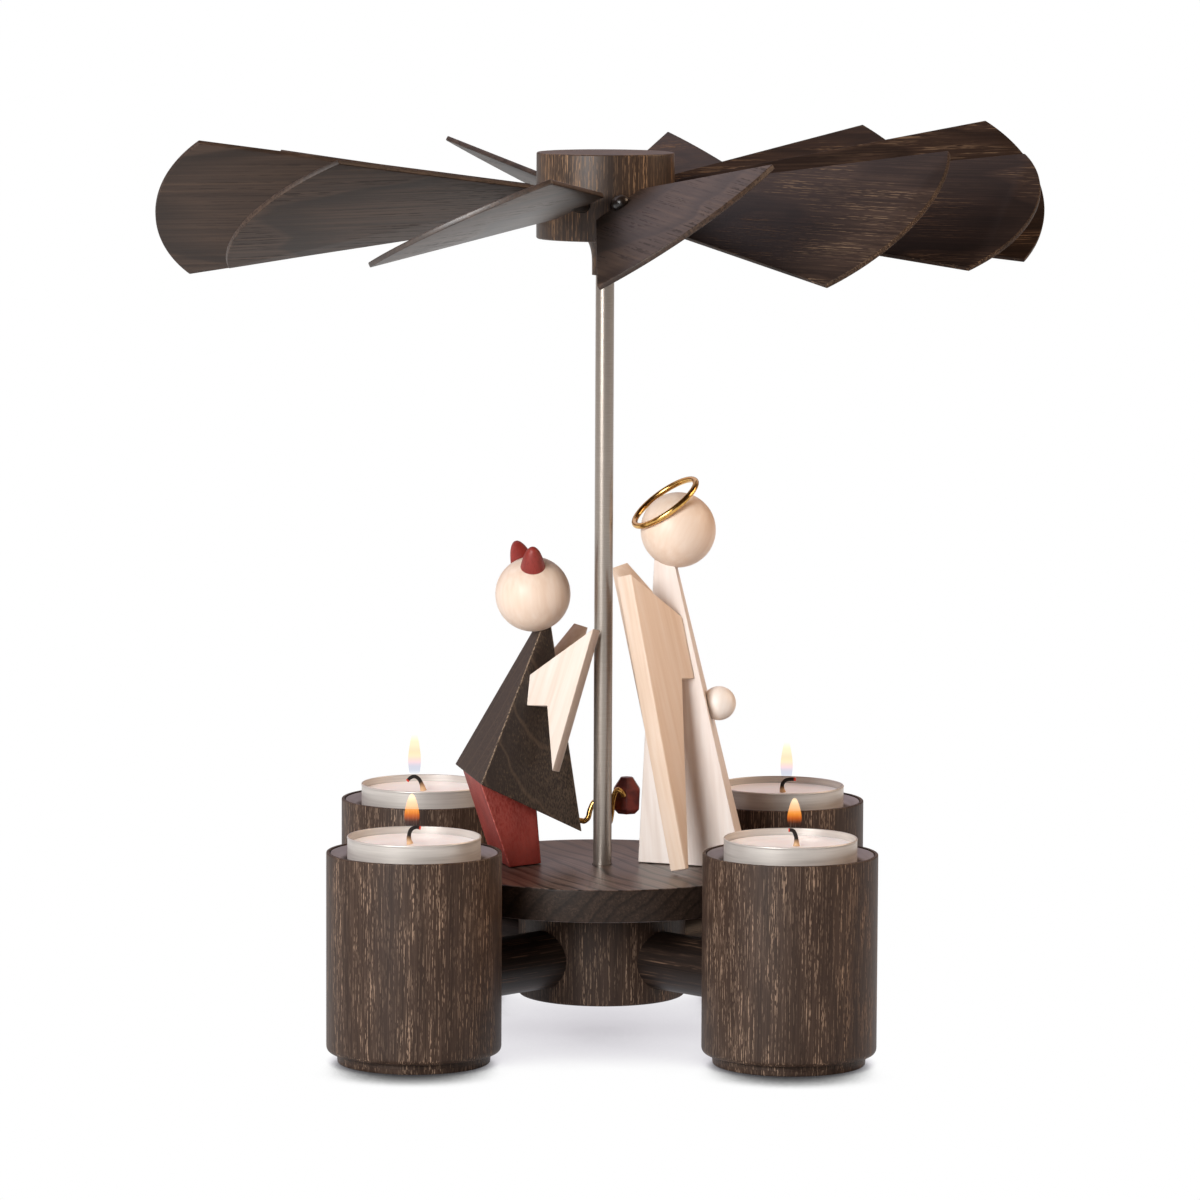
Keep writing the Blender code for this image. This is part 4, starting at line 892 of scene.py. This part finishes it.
# Stage: a white sweep, grey only where the feet and the drum close in the air above it, and soft lamps.
# The floor is one triangle, because a seam would show as a line in the contact shadow.
stage = {
    "size": 60.0, "paper": "#d4d4d4", "contact": 25.0, "wide": 60.0, "ambient": 0.10, "horizon": 0.18,
    "backdrop": 0.9}
floorMesh = bpy.data.meshes.new("floor")
reach = stage["size"]
floorMesh.from_pydata([(-2 * reach, -reach, 0), (2 * reach, -reach, 0), (0, 3 * reach, 0)], [], [(0, 1, 2)])
floor = bpy.data.objects.new("floor", floorMesh)
link(floor)
paperSweep, shader, add = newMaterial("paperSweep")
feed(shader, {"Base Color": stage["paper"], "Roughness": 0.9, "Specular IOR Level": 0.0})
seen = add("LightPath", out="Is Camera Ray")
for ray in ("Is Glossy Ray", "Is Transmission Ray"):
    seen = add("Math", [seen, add("LightPath", out=ray)], operation="MAXIMUM")
# The contact shadow looks only towards the back, which keeps it a short dark line under each foot.
backward = add("CombineXYZ", {1: 1.0})
contact = add("AmbientOcclusion", {"Distance": stage["contact"] * mm, "Normal": backward}, "AO",
              samples=24)
contact = add("ValToRGB", [contact],
              stops=[(0.5, 0.05), (0.6, 0.22), (0.68, 0.58), (0.72, 0.95), (0.75, 1.0)])
wide = add("AmbientOcclusion", {"Distance": stage["wide"] * mm}, "AO", samples=16)
wide = add("ValToRGB", [wide], stops=[(0.1, "#cdcacf"), (0.35, "#e5e3e7"), (0.56, "#ffffff")])
paperTone = add("Mix", {0: 1.0, 6: contact, 7: wide}, 2, data_type="RGBA", blend_type="MULTIPLY")
white = add("Emission", [paperTone, 1.0])
sweep = add("MixShader", [seen, shader.outputs[0], white])
feed(shader.id_data.nodes["Material Output"], {"Surface": sweep})
floorMesh.materials.append(paperSweep)

# World: white to the eye; for the light it is dim and warm, with a bright cool backdrop behind and above.
world = bpy.data.worlds.new("studio")
scene.world = world
world.use_nodes = True
tree = world.node_tree
add = partial(addNode, tree)
direct = add("LightPath", out="Is Camera Ray")
through = add("LightPath", out="Is Transmission Ray")
seen = add("Math", [direct, through], operation="MAXIMUM")
way = add("TexCoord", out="Generated")
behind = add("VectorMath", [way, (-0.5, 0.87, 0)], "Value", operation="DOT_PRODUCT")
level = add("SeparateXYZ", [way], "Z")
above = add("MapRange", [level, 0.12, 0.4, stage["horizon"], stage["backdrop"]],
            interpolation_type="SMOOTHSTEP")
backdrop = add("MapRange", [behind, 0.15, 0.7, stage["ambient"], above],
               interpolation_type="SMOOTHSTEP")
strength = add("MapRange", [seen, 0.0, 1.0, backdrop, 1.0])
bright = add("Math", [strength, 1.4], operation="MULTIPLY", use_clamp=True)
tint = add("Mix", {0: bright, 6: "#ffc294", 7: "#fff0f8"}, 2, data_type="RGBA")
tint = add("Mix", {0: seen, 6: tint, 7: "#ffffff"}, 2, data_type="RGBA")
feed(tree.nodes["Background"], {"Color": tint, "Strength": strength})

# Lamps: place, aim and side in metres, power in watts and colour.
lampSet = {"keySoftbox": ((-0.76, -1.22, 0.60), (0, 0, 0.13), 0.7, 23.5, "#ffffff"),
           "sideFill": ((1.2, 0.1, 0.85), (0, 0, 0.13), 0.8, 10.0, "#ffdcbc")}
for name, (spot, aim, size, power, tint) in lampSet.items():
    data = bpy.data.lights.new(name, "AREA")
    data.shape, data.size, data.energy = "SQUARE", size, power
    data.color = colour(tint)[:3]
    lamp = bpy.data.objects.new(name, data)
    link(lamp)
    lamp.location = spot
    lamp.rotation_euler = (Vector(aim) - Vector(spot)).to_track_quat("-Z", "Y").to_euler()
print("stage made")
